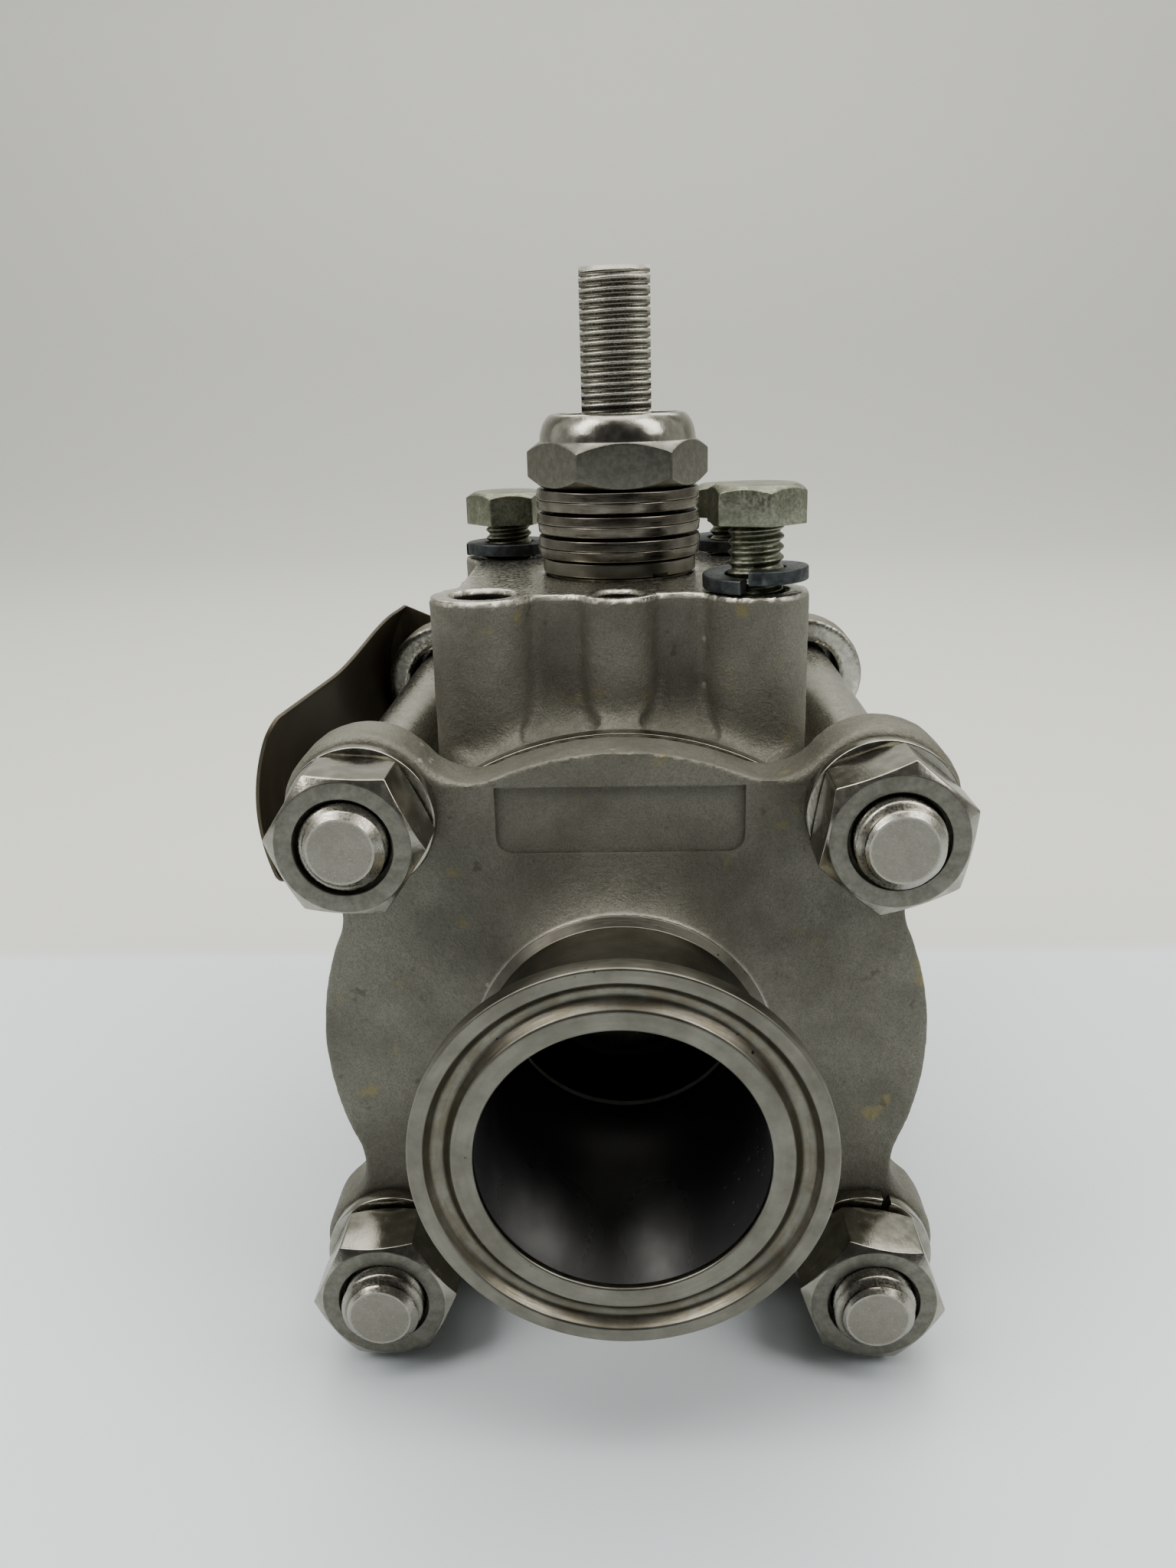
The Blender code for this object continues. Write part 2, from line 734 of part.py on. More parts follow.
def actuator_bolt(place, parts, cutters, finish):
    x, y, seat_z, turn = ACTUATOR_BOLTS[place]
    name = "actuator_bolt_" + place
    head = chamfered_hex(name, ACT_HEAD_AF, 0, ACT_HEAD_H, parts, cutters, turn=turn,
                         ends=(False, True))
    shank = turned(name + "_shank", [
        (0, 0.001),
        (ACT_R, 0.001),
        (ACT_R, -ACT_LENGTH + 0.0008),
        (ACT_R - 0.0008, -ACT_LENGTH),
        (0, -ACT_LENGTH),
    ], cutters, steps=SMALL)
    boolean(head, shank, "UNION")
    bpy.context.view_layer.update()
    made = baked(head, name, parts, finish)
    made.location = (x * BOSS_X, y * BOSS_Y, seat_z)
    return made


def actuator_lock_washer(place, parts, cutters, finish):
    x, y, _, turn = ACTUATOR_BOLTS[place]
    name = "actuator_lock_washer_" + place
    ring = split_ring(name, ACT_WASHER_R, ACT_R + GAP, ACT_WASHER_T, turn - 150, cutters)
    bpy.context.view_layer.update()
    made = baked(ring, name, parts, finish)
    made.location = (x * BOSS_X, y * BOSS_Y, PAD_Z + GAP)
    return made


# ---- side plate ---------------------------------------------------------------
def plate_edge(share, ends):
    """Height of the leaf's top or bottom edge, share of the way from front to rear."""
    rise = min(1.0, max(0.0, (share - 0.38) / 0.30))
    return ends[0] + (ends[1] - ends[0]) * rise * rise * (3 - 2 * rise)


def plate_x(share, rise):
    """The leaf bows outward half way up its height, clear of the rear lug."""
    bow = PLATE_BULGE[0] + (PLATE_BULGE[1] - PLATE_BULGE[0]) * share
    lean = PLATE_LEAN * (1 - rise) * (1 - share)
    straight = PLATE_FRONT_X + (PLATE_REAR_X - PLATE_FRONT_X) * share
    return straight - lean - bow * (1 - (2 * rise - 1) ** 2)


def side_plate(parts, cutters, finish):
    """A sheet-metal leaf along the side, with a tab under the rear upper bolt head."""
    across = 14
    up = 6
    bm = bmesh.new()
    bmesh.ops.create_grid(bm, x_segments=across, y_segments=up, size=0.5)
    length = PLATE_REAR_Y + PLATE_T / 2 - PLATE_FRONT_Y
    for vert in bm.verts:
        share = vert.co.x + 0.5
        rise = vert.co.y + 0.5
        low = plate_edge(share, PLATE_BOTTOM)
        high = plate_edge(share, PLATE_TOP)
        vert.co = (plate_x(share, rise), PLATE_FRONT_Y + share * length, low + (high - low) * rise)
    leaf = mesh_object("side_plate_leaf", bm, cutters)
    sheet = leaf.modifiers.new("Solidify", "SOLIDIFY")
    sheet.thickness = PLATE_T
    sheet.offset = 0
    tab = solid_outline("side_plate_tab", tab_outline(), PLATE_T, cutters)
    tab.location.y = PLATE_REAR_Y + PLATE_T / 2
    boolean(leaf, tab, "UNION")
    hole = turned("side_plate_hole", rod_profile(TIE_SHANK_R + 2 * GAP, 0.040, 0.045), cutters,
                  axis="Y", steps=SMALL)
    hole.location = (-TIE, 0, TIE)
    boolean(leaf, hole)
    bpy.context.view_layer.update()
    return baked(leaf, "side_plate", parts, finish)


def tab_outline():
    """A rounded end about the tie bolt, running straight to the leaf."""
    points = arc((-TIE, TIE), TAB_R, -90, 80, 12)
    for i in range(9):
        rise = 1 - i / 8
        height = PLATE_BOTTOM[1] + (PLATE_TOP[1] - PLATE_BOTTOM[1]) * rise
        points.append((plate_x(1.0, rise), height))
    return points


# ---- assembly -----------------------------------------------------------------
def main():
    clear_scene()
    parts = collection("clamp_end_ball_valve")
    cutters = collection("cutters")
    cast = cast_stainless()
    turned_finish = turned_stainless()
    polished = polished_stainless()
    spring = spring_steel()
    zinc = zinc_plated()
    dark = dark_steel()
    white = ptfe()
    filled = filled_ptfe()
    valve_body(parts, cutters, cast)
    end_fitting("end_fitting_front", -1, parts, cutters, cast)
    end_fitting("end_fitting_rear", 1, parts, cutters, cast)
    ball(parts, cutters, polished)
    for name, side in (("front", -1), ("rear", 1)):
        seat("seat_" + name, side, parts, filled)
        body_seal("body_seal_" + name, side, parts, white)
    stem(parts, cutters, turned_finish)
    thrust_washer(parts, white)
    for number in (1, 2, 3):
        packing_ring(number, parts, white)
    gland_follower(parts, turned_finish)
    for number in range(1, 7):
        spring_washer(number, parts, spring)
    stem_nut(parts, cutters, polished)
    stem_nut_insert(parts, nylon())
    for corner in CORNERS:
        tie_bolt(corner, parts, cutters, polished)
        tie_nut(corner, parts, cutters, polished)
        tie_lock_washer(corner, parts, cutters, polished)
    for place in ACTUATOR_BOLTS:
        actuator_bolt(place, parts, cutters, zinc)
        actuator_lock_washer(place, parts, cutters, dark)
    side_plate(parts, cutters, plate_steel())


main()
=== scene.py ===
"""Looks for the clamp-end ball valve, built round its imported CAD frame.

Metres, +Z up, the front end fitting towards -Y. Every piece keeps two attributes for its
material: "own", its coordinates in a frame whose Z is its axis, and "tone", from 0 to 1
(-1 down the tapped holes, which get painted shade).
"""

import math
import random

import bmesh
import bpy
import numpy as np
from mathutils import Matrix, Vector


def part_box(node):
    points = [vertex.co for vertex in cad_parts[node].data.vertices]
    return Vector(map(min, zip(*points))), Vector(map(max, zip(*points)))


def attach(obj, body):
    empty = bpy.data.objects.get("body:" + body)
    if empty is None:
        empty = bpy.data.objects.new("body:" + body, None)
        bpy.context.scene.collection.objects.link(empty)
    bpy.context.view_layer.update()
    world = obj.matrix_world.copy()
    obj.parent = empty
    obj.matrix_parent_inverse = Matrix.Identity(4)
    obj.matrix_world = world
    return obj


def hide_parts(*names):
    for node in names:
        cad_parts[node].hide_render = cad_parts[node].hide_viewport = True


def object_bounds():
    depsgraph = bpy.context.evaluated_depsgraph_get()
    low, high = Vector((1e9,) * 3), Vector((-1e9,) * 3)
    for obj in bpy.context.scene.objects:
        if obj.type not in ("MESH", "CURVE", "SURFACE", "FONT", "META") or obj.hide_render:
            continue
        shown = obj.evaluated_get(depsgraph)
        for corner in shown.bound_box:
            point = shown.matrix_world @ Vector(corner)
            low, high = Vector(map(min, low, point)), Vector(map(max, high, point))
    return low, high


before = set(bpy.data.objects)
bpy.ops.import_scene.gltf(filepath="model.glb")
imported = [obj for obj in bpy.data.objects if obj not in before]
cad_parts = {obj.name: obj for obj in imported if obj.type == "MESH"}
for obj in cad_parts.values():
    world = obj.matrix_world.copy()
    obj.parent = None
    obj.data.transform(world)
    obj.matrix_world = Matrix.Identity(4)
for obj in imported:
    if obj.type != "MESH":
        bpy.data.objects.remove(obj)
cad_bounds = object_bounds()

MM = 0.001
TAU = math.tau

# ---- sizes, from the frame where a node's box gives them -------------------------
FRONT_LOW, FRONT_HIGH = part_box("end_fitting_front")
BODY_LOW, BODY_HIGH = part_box("body")
STEM_LOW, STEM_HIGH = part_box("stem")
FLOOR_Z = cad_bounds[0][2]

END_Y = -FRONT_LOW.y
SPIGOT_Y = -FRONT_HIGH.y
PARTING_Y = BODY_HIGH.y
PAD_Z = BODY_HIGH.z
STEM_TOP = STEM_HIGH.z
BALL_R = 29.0 * MM
TIE = 33.5 * MM
BORE_R = 17.4 * MM

FLANGE_FRONT = 41.5 * MM
FLANGE_BACK = 33.3 * MM
FLANGE_R = 41.4 * MM
LUG_R = 10.6 * MM
LUG_HOLE_R = 6.5 * MM
FILLET_R = 8.0 * MM
BELL_R = 30.0 * MM
BELL_TOP_R = 20.3 * MM
NECK_END_Y = 44.8 * MM
NECK_R = 19.05 * MM
FERRULE_R = 25.25 * MM
PANEL_HALF_X = 16.25 * MM
PANEL_LOW_Z = 27.7 * MM
PANEL_HIGH_Z = 36.9 * MM

BARREL_R = 38.5 * MM
RIM_R = 41.2 * MM
RIM_W = 4.5 * MM
BODY_BORE_R = 29.6 * MM
SEAL_POCKET_R = 33.5 * MM
SEAL_POCKET_Y = 30.3 * MM
BOSS_X, BOSS_Y, BOSS_R = 19.0 * MM, 20.5 * MM, 7.4 * MM
BOSS_HOLE_R, BOSS_HOLE_DEPTH = 4.15 * MM, 19.0 * MM
MID_BOSS_Y, MID_BOSS_R = 21.5 * MM, 5.4 * MM
MID_HOLE_R, MID_HOLE_DEPTH = 3.2 * MM, 11.0 * MM
WEB_X, WEB_Y = 23.5 * MM, 22.6 * MM
STUFFING_R, STUFFING_FLOOR = 11.3 * MM, 38.0 * MM
STEM_HOLE_R = 8.3 * MM
SHOULDER_RECESS_R, SHOULDER_RECESS_Z = 11.8 * MM, 35.3 * MM

STEM_R = 7.94 * MM
STEM_MINOR_R = 7.40 * MM
FINE_PITCH = 1.411 * MM
STEM_FLAT_X = 5.05 * MM
STEM_FLAT_FROM = 79.5 * MM
TIE_BOLT_R, TIE_BOLT_MINOR_R, TIE_PITCH = 5.55 * MM, 4.65 * MM, 1.814 * MM
TIE_HEAD_AF, TIE_HEAD_HEIGHT, TIE_NUT_AF = 15.9 * MM, 7.1 * MM, 17.46 * MM
TIE_WASHER_R, TIE_WASHER_T = 9.85 * MM, 2.2 * MM
ACT_R, ACT_MINOR_R, ACT_PITCH = 3.85 * MM, 3.30 * MM, 1.411 * MM
ACT_HEAD_AF, ACT_HEAD_HEIGHT = 12.2 * MM, 5.2 * MM
ACT_WASHER_R, ACT_WASHER_T = 7.3 * MM, 1.9 * MM
GLAND_R, GLAND_COLLAR_R = 11.0 * MM, 11.7 * MM
SPRING_R, SPRING_T = 12.4 * MM, 1.46 * MM
STEM_NUT_AF, STEM_NUT_HEX = 23.8 * MM, 6.6 * MM
SLOT_W, SLOT_LENGTH, SLOT_FLOOR = 9.0 * MM, 24.0 * MM, 22.8 * MM

CORNERS = {"upper_left": (-1, 1), "upper_right": (1, 1), "lower_left": (-1, -1), "lower_right": (1, -1)}
NUT_TURN = {"upper_left": -4, "upper_right": 20, "lower_left": 4, "lower_right": -10}
HEAD_TURN = {"upper_left": -11, "upper_right": 11, "lower_left": 11, "lower_right": -11}
TIE_SPLIT = {"upper_left": 265, "upper_right": 200, "lower_left": 265, "lower_right": 71}
ACTUATOR_TURN = {"front_right": 39.5, "rear_left": 10, "rear_right": 25}
ACTUATOR_SPLIT = {"front_right": -107, "rear_left": 200, "rear_right": 60}

TO_FRONT = Matrix.Rotation(math.radians(90), 4, "X")
TO_REAR = Matrix.Rotation(math.radians(-90), 4, "X")
UPRIGHT = Matrix.Identity(4)


# ---- mesh helpers -----------------------------------------------------------------
def move(x, y, z):
    return Matrix.Translation((x, y, z))


def spin(degrees, axis="Z"):
    return Matrix.Rotation(math.radians(degrees), 4, axis)


def add_object(name, data):
    obj = bpy.data.objects.new(name, data)
    bpy.context.scene.collection.objects.link(obj)
    return obj


def make_piece(name, verts, faces, tones=None, smooth_angle=40):
    """A welded mesh object from points and faces, with the tone of each point."""
    mesh = bpy.data.meshes.new(name)
    mesh.from_pydata(verts, [], faces)
    tone = mesh.attributes.new("tone", "FLOAT", "POINT")
    if tones is not None:
        tone.data.foreach_set("value", np.asarray(tones, np.float32))
    bm = bmesh.new()
    bm.from_mesh(mesh)
    bmesh.ops.remove_doubles(bm, verts=bm.verts, dist=1e-7)
    bmesh.ops.recalc_face_normals(bm, faces=bm.faces)
    bm.to_mesh(mesh)
    bm.free()
    mesh.shade_smooth()
    mesh.set_sharp_from_angle(angle=math.radians(smooth_angle))
    return add_object(name, mesh)


def soften(corners, steps=4):
    """Rounds a profile. A corner is (r, h, edge radius in mm, tone); each gives steps + 1 points."""
    points = []
    for i, (r, h, edge, tone) in enumerate(corners):
        radius = edge * MM
        if radius == 0 or i in (0, len(corners) - 1):
            points.append((r, h, tone))
            continue
        here = Vector((r, h))
        before = Vector(corners[i - 1][:2]) - here
        after = Vector(corners[i + 1][:2]) - here
        if before.length == 0 or after.length == 0:
            points += [(r, h, tone)] * (steps + 1)
            continue
        a = here + before.normalized() * min(radius, before.length * 0.45)
        b = here + after.normalized() * min(radius, after.length * 0.45)
        for k in range(steps + 1):
            t = k / steps
            p = a * (1 - t) ** 2 + here * 2 * t * (1 - t) + b * t ** 2
            points.append((p.x, p.y, tone))
    return points


def ring_section(corners, steps=4):
    """Rounds a closed section: its first corner is met again at the end."""
    wrapped = [corners[-1], *corners, corners[0]]
    return soften(wrapped, steps)[1:-1]


def spun(name, section_at, angles, whole=True, closed_section=False, lift=None):
    """A section swept round Z. section_at(angle) gives as many (r, h, tone) at each angle."""
    verts, tones, faces = [], [], []
    for angle in angles:
        raise_by = lift(angle) if lift else 0.0
        for r, h, tone in section_at(angle):
            verts.append((r * math.cos(angle), r * math.sin(angle), h + raise_by))
            tones.append(tone)
    count = len(verts) // len(angles)
    turns = len(angles) if whole else len(angles) - 1
    along = count if closed_section else count - 1
    for i in range(turns):
        j = (i + 1) % len(angles)
        for k in range(along):
            m = (k + 1) % count
            faces.append((i * count + k, i * count + m, j * count + m, j * count + k))
    if not whole:
        faces.append(tuple(range(count)))
        faces.append(tuple(range((len(angles) - 1) * count, len(angles) * count)))
    return make_piece(name, verts, faces, tones)


def even_angles(steps):
    return [TAU * i / steps for i in range(steps)]


def turned(name, corners, steps=128, closed=False, rounding=4):
    section = ring_section(corners, rounding) if closed else soften(corners, rounding)
    return spun(name, lambda angle: section, even_angles(steps), closed_section=closed)


def apply_modifiers(obj):
    graph = bpy.context.evaluated_depsgraph_get()
    mesh = bpy.data.meshes.new_from_object(obj.evaluated_get(graph), preserve_all_data_layers=True,
                                           depsgraph=graph)
    obj.modifiers.clear()
    obj.data = mesh


def boolean(obj, other, operation="DIFFERENCE"):
    """Applies an exact Boolean and removes the other object."""
    modifier = obj.modifiers.new("Boolean", "BOOLEAN")
    modifier.operation = operation
    modifier.object = other
    modifier.solver = "EXACT"
    bpy.context.view_layer.update()
    apply_modifiers(obj)
    bpy.data.objects.remove(other, do_unlink=True)


def block(name, low, high):
    """A box between two corners, for cutting or joining."""
    bm = bmesh.new()
    bmesh.ops.create_cube(bm, size=1.0)
    bmesh.ops.scale(bm, vec=Vector(high) - Vector(low), verts=bm.verts)
    bmesh.ops.translate(bm, vec=(Vector(high) + Vector(low)) / 2, verts=bm.verts)
    mesh = bpy.data.meshes.new(name)
    bm.to_mesh(mesh)
    bm.free()
    return add_object(name, mesh)


def install(obj, body, material, nodes=(), place=UPRIGHT, smooth_angle=None):
    """Puts a piece in its place, keeps its own coordinates, and hands it to the frame."""
    mesh = obj.data
    count = len(mesh.vertices)
    own = np.empty(count * 3, np.float32)
    mesh.vertices.foreach_get("co", own)
    attribute = mesh.attributes.new("own", "FLOAT_VECTOR", "POINT")
    attribute.data.foreach_set("vector", own)
    mesh.transform(place)
    mesh.materials.clear()
    mesh.materials.append(material)
    if smooth_angle:
        mesh.shade_smooth()
        mesh.set_sharp_from_angle(angle=math.radians(smooth_angle))
    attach(obj, body)
    if nodes:
        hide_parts(*nodes)
    return obj


# ---- cast shapes, from distance fields --------------------------------------------
def blend_min(a, b, width):
    """The lesser of two distances, with a fillet of about width where they meet."""
    share = np.clip(0.5 + 0.5 * (b - a) / width, 0, 1)
    return b * (1 - share) + a * share - width * share * (1 - share)


def blend_max(a, b, width):
    return -blend_min(-a, -b, width)


def waviness(x, y, z, length):
    """A gentle unevenness between -1 and 1, with features of about length."""
    total = 0.0
    for ax, ay, az, phase in ((1.0, 0.6, 0.3, 0.4), (-0.5, 1.1, 0.7, 1.9), (0.4, -0.7, 1.2, 3.1),
                              (1.3, 0.2, -0.9, 4.4), (-0.8, -0.9, 0.5, 5.2), (0.2, 1.4, -1.1, 0.9)):
        total = total + np.sin((ax * x + ay * y + az * z) * TAU / length + phase)
    return total / 6


def field_mesh(name, distance, low, high, step, tone_of):
    """Surface nets: a point in each cell that the surface crosses, moved onto the surface."""
    axes = [np.arange(low[i] - 1.5 * step, high[i] + 2.5 * step, step) for i in range(3)]
    value = distance(axes[0][:, None, None], axes[1][None, :, None], axes[2][None, None, :])
    inside = value < 0
    corners = [(i, j, k) for i in (0, 1) for j in (0, 1) for k in (0, 1)]
    filled = sum(inside[i:i + value.shape[0] - 1, j:j + value.shape[1] - 1, k:k + value.shape[2] - 1]
                 .astype(np.int8) for i, j, k in corners)
    cells = np.argwhere((filled > 0) & (filled < 8))
    total, crossings = np.zeros((len(cells), 3)), np.zeros(len(cells))
    for a in corners:
        for axis in range(3):
            if a[axis]:
                continue
            b = tuple(1 if i == axis else a[i] for i in range(3))
            va = value[tuple((cells + a).T)]
            vb = value[tuple((cells + b).T)]
            crossed = (va < 0) != (vb < 0)
            share = np.where(crossed, va / np.where(crossed, va - vb, 1), 0)
            point = np.array(a, float) + share[:, None] * (np.array(b, float) - a)
            total += point * crossed[:, None]
            crossings += crossed
    origin = np.array([axis[0] for axis in axes])
    points = (cells + total / crossings[:, None]) * step + origin
    points = onto_surface(points, distance, step)
    index = np.full(filled.shape, -1, np.int64)
    index[tuple(cells.T)] = np.arange(len(cells))
    faces = np.concatenate([net_faces(inside, index, axis) for axis in range(3)])
    x, y, z = points.T
    return make_piece(name, points.tolist(), faces.tolist(), tone_of(x, y, z), smooth_angle=180)


def onto_surface(points, distance, step):
    """Two steps down the field's slope, each no longer than a third of a cell."""
    eps = step * 0.1
    for _ in range(2):
        here = distance(*points.T)
        slope = np.stack([
            (distance(*(points + eps * np.eye(3)[i]).T) - distance(*(points - eps * np.eye(3)[i]).T))
            / (2 * eps) for i in range(3)], axis=1)
        size = np.maximum((slope ** 2).sum(1), 0.05)
        shift = -(here / size)[:, None] * slope
        length = np.maximum(np.linalg.norm(shift, axis=1), 1e-12)
        points = points + shift * np.minimum(1, step / 3 / length)[:, None]
    return points


def net_faces(inside, index, axis):
    """A face round each grid edge along an axis that goes from inside to outside."""
    moved = np.moveaxis(inside, axis, 0)
    cells = np.moveaxis(index, axis, 0)
    crossed = moved[:-1] != moved[1:]
    i, j, k = np.nonzero(crossed[:, 1:-1, 1:-1])
    j, k = j + 1, k + 1
    ring = np.stack([cells[i, j - 1, k - 1], cells[i, j, k - 1], cells[i, j, k], cells[i, j - 1, k]], 1)
    outward = moved[i, j, k] if axis != 1 else ~moved[i, j, k]
    return np.where(outward[:, None], ring, ring[:, ::-1])


def flange_outline_distance(x, z):
    """Distance in XZ from the disc with four lugs and their fillets."""
    u, v = np.maximum(np.abs(x), np.abs(z)), np.minimum(np.abs(x), np.abs(z))
    reach = TIE * math.sqrt(2)
    to_disc, to_lug = FLANGE_R + FILLET_R, LUG_R + FILLET_R
    half = math.acos((to_disc ** 2 + reach ** 2 - to_lug ** 2) / (2 * to_disc * reach))
    cu, cv = to_disc * math.cos(math.pi / 4 - half), to_disc * math.sin(math.pi / 4 - half)
    plain = np.minimum(np.hypot(u, v) - FLANGE_R, np.hypot(u - TIE, v - TIE) - LUG_R)
    past_centre = cu * v - cv * u > 0
    past_lug = (TIE - cu) * (v - cv) - (TIE - cv) * (u - cu) > 0
    return np.where(past_centre & past_lug, FILLET_R - np.hypot(u - cu, v - cv), plain)


def flange_field(side):
    """Distance from a cast flange with its bell, on the front (-1) or the rear (1)."""
    def distance(x, y, z):
        out = side * y
        rho = np.hypot(x, z)
        to_lug = np.hypot(np.abs(x) - TIE, np.abs(z) - TIE)
        soft = 0.40 * MM + 0.75 * MM * np.clip((LUG_R + 3.5 * MM - to_lug) / (3 * MM), 0, 1)
        edge = flange_outline_distance(x, z) + soft
        edge = edge + 0.07 * MM * waviness(x, y, z, 7 * MM) + 0.05 * MM * waviness(z, x, y, 2.6 * MM)
        share = np.clip((rho - BELL_TOP_R) / (BELL_R - BELL_TOP_R), 0, 1) ** 0.625
        height = NECK_END_Y + (FLANGE_FRONT - NECK_END_Y) * np.sin(share * math.pi / 2)
        depth = np.maximum((out - height) * 0.85 - 0.05 * MM * waviness(x, y, z, 11 * MM),
                           FLANGE_BACK - soft - out) + soft
        cast = (np.minimum(np.maximum(edge, depth), 0)
                + np.hypot(np.maximum(edge, 0), np.maximum(depth, 0)) - soft)
        lip = np.exp(-((edge - 0.2 * MM) / (0.28 * MM)) ** 2) * np.clip((z - 20 * MM) / (4 * MM), 0, 1)
        lip = lip * np.clip((out - FLANGE_FRONT + 0.9 * MM) / MM, 0, 1)
        lip = lip * np.clip((27 * MM - np.abs(x)) / (4 * MM), 0, 1)
        cast = cast - lip * (0.12 * MM + 0.12 * MM * waviness(z, y, x, 2.7 * MM))
        cast = blend_max(cast, FLANGE_BACK - out, 0.8 * MM)
        hole = np.minimum(rho - NECK_R - 0.35 * MM, to_lug - LUG_HOLE_R)
        return blend_max(cast, -hole, 0.5 * MM)

    return distance


def flange_tone(x, y, z):
    """1 on the turned back face and round the neck."""
    rho = np.hypot(x, z)
    machined = np.clip((FLANGE_BACK + 0.3 * MM - np.abs(y)) / (0.2 * MM), 0, 1)
    return np.maximum(machined, np.clip((20.6 * MM - rho) / (0.4 * MM), 0, 1))


def casting_outside(x, y, z):
    """The barrel with its rims, and the column under the pad: bosses with a web between them."""
    rho, away = np.hypot(x, z), np.abs(y)
    barrel = np.maximum(rho - BARREL_R, away - PARTING_Y)
    rim = np.maximum(np.maximum(rho - RIM_R + 0.5 * MM, away - PARTING_Y), PARTING_Y - RIM_W - away)
    shell = blend_min(barrel, rim, 1.5 * MM)
    corner = 2.5 * MM
    flare = np.clip(47 * MM - z, 0, 10 * MM) ** 2 / (20 * MM)
    u, v = np.abs(x) - WEB_X + corner, away - WEB_Y - flare + corner
    web = np.hypot(np.maximum(u, 0), np.maximum(v, 0)) + np.minimum(np.maximum(u, v), 0) - corner
    bosses = np.hypot(np.abs(x) - BOSS_X, away - BOSS_Y) - BOSS_R
    middle = np.hypot(x, away - MID_BOSS_Y) - MID_BOSS_R
    column = blend_min(web, np.minimum(bosses, middle), 1.4 * MM)
    column = np.maximum(column, 20 * MM - z)
    return np.maximum(blend_min(shell, column, 4.5 * MM), away - PARTING_Y)


def casting_cuts(x, y, z):
    """Inside: tapped holes, stuffing box, stem hole, the stem's shoulder, bore and seal pockets."""
    rho, away, from_stem = np.hypot(x, z), np.abs(y), np.hypot(x, y)
    to_boss, to_middle = np.hypot(np.abs(x) - BOSS_X, away - BOSS_Y), np.hypot(x, away - MID_BOSS_Y)
    return [np.maximum(to_boss - mouth(BOSS_HOLE_R, z, 0.6 * MM), PAD_Z - BOSS_HOLE_DEPTH - z),
            np.maximum(to_middle - mouth(MID_HOLE_R, z, 0.6 * MM), PAD_Z - MID_HOLE_DEPTH - z),
            np.maximum(from_stem - mouth(STUFFING_R, z, 0.5 * MM), STUFFING_FLOOR - z),
            np.maximum(from_stem - STEM_HOLE_R, -z),
            np.maximum(from_stem - SHOULDER_RECESS_R, np.maximum(z - SHOULDER_RECESS_Z, -z)),
            rho - BODY_BORE_R,
            np.maximum(rho - SEAL_POCKET_R, SEAL_POCKET_Y - away)]


def casting_distance(x, y, z):
    """The centre casting, with an uneven skin and a bruised edge of 45 degrees round its pad."""
    cast = casting_outside(x, y, z)
    cast = cast + 0.06 * MM * waviness(x, y, z, 9 * MM) + 0.03 * MM * waviness(z, x, y, 2.4 * MM)
    nick = 0.15 * MM * waviness(x, y, z, 1.7 * MM) + 0.12 * MM * waviness(y, z, x, 4.1 * MM)
    top = z - PAD_Z
    worn = (cast + top) * 0.7071 + 0.28 * MM + nick
    cast = np.maximum(blend_max(cast, top, 0.25 * MM), worn)
    for cut in casting_cuts(x, y, z):
        cast = blend_max(cast, -cut, 0.3 * MM)
    return cast


def mouth(radius, z, depth):
    """A hole's radius, opened by a countersink at the pad."""
    return radius + np.clip(z - PAD_Z + depth, 0, depth)


def casting_tone(x, y, z):
    """1 where a tool has cut the casting: pad, worn edges, parting faces, bore. -1 down the holes, for
    painted shade.
    """
    rho, away = np.hypot(x, z), np.abs(y)
    edge = 0.55 * MM + 0.40 * MM * waviness(x, y, z, 2.3 * MM) + 0.35 * MM * waviness(y, z, x, 5 * MM)
    tone = np.clip((z - PAD_Z + edge) / (0.25 * MM), 0, 1)
    tone = np.maximum(tone, (away > PARTING_Y - 0.3 * MM) | (rho < BODY_BORE_R + 0.4 * MM))
    hole = np.hypot(np.abs(x) - BOSS_X, away - BOSS_Y) < BOSS_HOLE_R + 0.8 * MM
    hole |= np.hypot(x, away - MID_BOSS_Y) < MID_HOLE_R + 0.8 * MM
    return np.where(hole & (z < PAD_Z - 0.6 * MM), -1, tone)


def panel_cutter():
    """A blank panel, square above and rounded below, deepest along its upper edge."""
    outline = [(-PANEL_HALF_X, PANEL_HIGH_Z), (PANEL_HALF_X, PANEL_HIGH_Z)]
    corner = 2.2 * MM
    for side, start in ((1, 0), (-1, -90)):
        for k in range(7):
            angle = math.radians(start - 15 * k)
            outline.append((side * (PANEL_HALF_X - corner) + corner * math.cos(angle),
                            PANEL_LOW_Z + corner + corner * math.sin(angle)))
    count = len(outline)
    verts = [(x, -FLANGE_FRONT - 2 * MM, z) for x, z in outline]
    for x, z in outline:
        fall = (PANEL_HIGH_Z - z) / (PANEL_HIGH_Z - PANEL_LOW_Z)
        verts.append((x, -FLANGE_FRONT + (0.85 - 0.40 * fall) * MM, z))
    faces = [tuple(range(count)), tuple(range(count, 2 * count))]
    faces += [(i, (i + 1) % count, count + (i + 1) % count, count + i) for i in range(count)]
    return make_piece("panel_cutter", verts, faces)


def flange(name, side, material, nodes):
    """A cast flange with four lugs; the front one has the blank panel."""
    reach = TIE + LUG_R
    ends = sorted((side * FLANGE_BACK, side * NECK_END_Y))
    step = (0.42 if side < 0 else 0.6) * MM
    piece = field_mesh(name, flange_field(side), (-reach, ends[0], -reach),
                       (reach, ends[1], reach), step, flange_tone)
    if side < 0:
        boolean(piece, panel_cutter())
    return install(piece, "valve_body", material, nodes, smooth_angle=55)


def casting(material):
    piece = field_mesh("body_casting", casting_distance, BODY_LOW, BODY_HIGH, 0.5 * MM, casting_tone)
    return install(piece, "valve_body", material, ("body",))


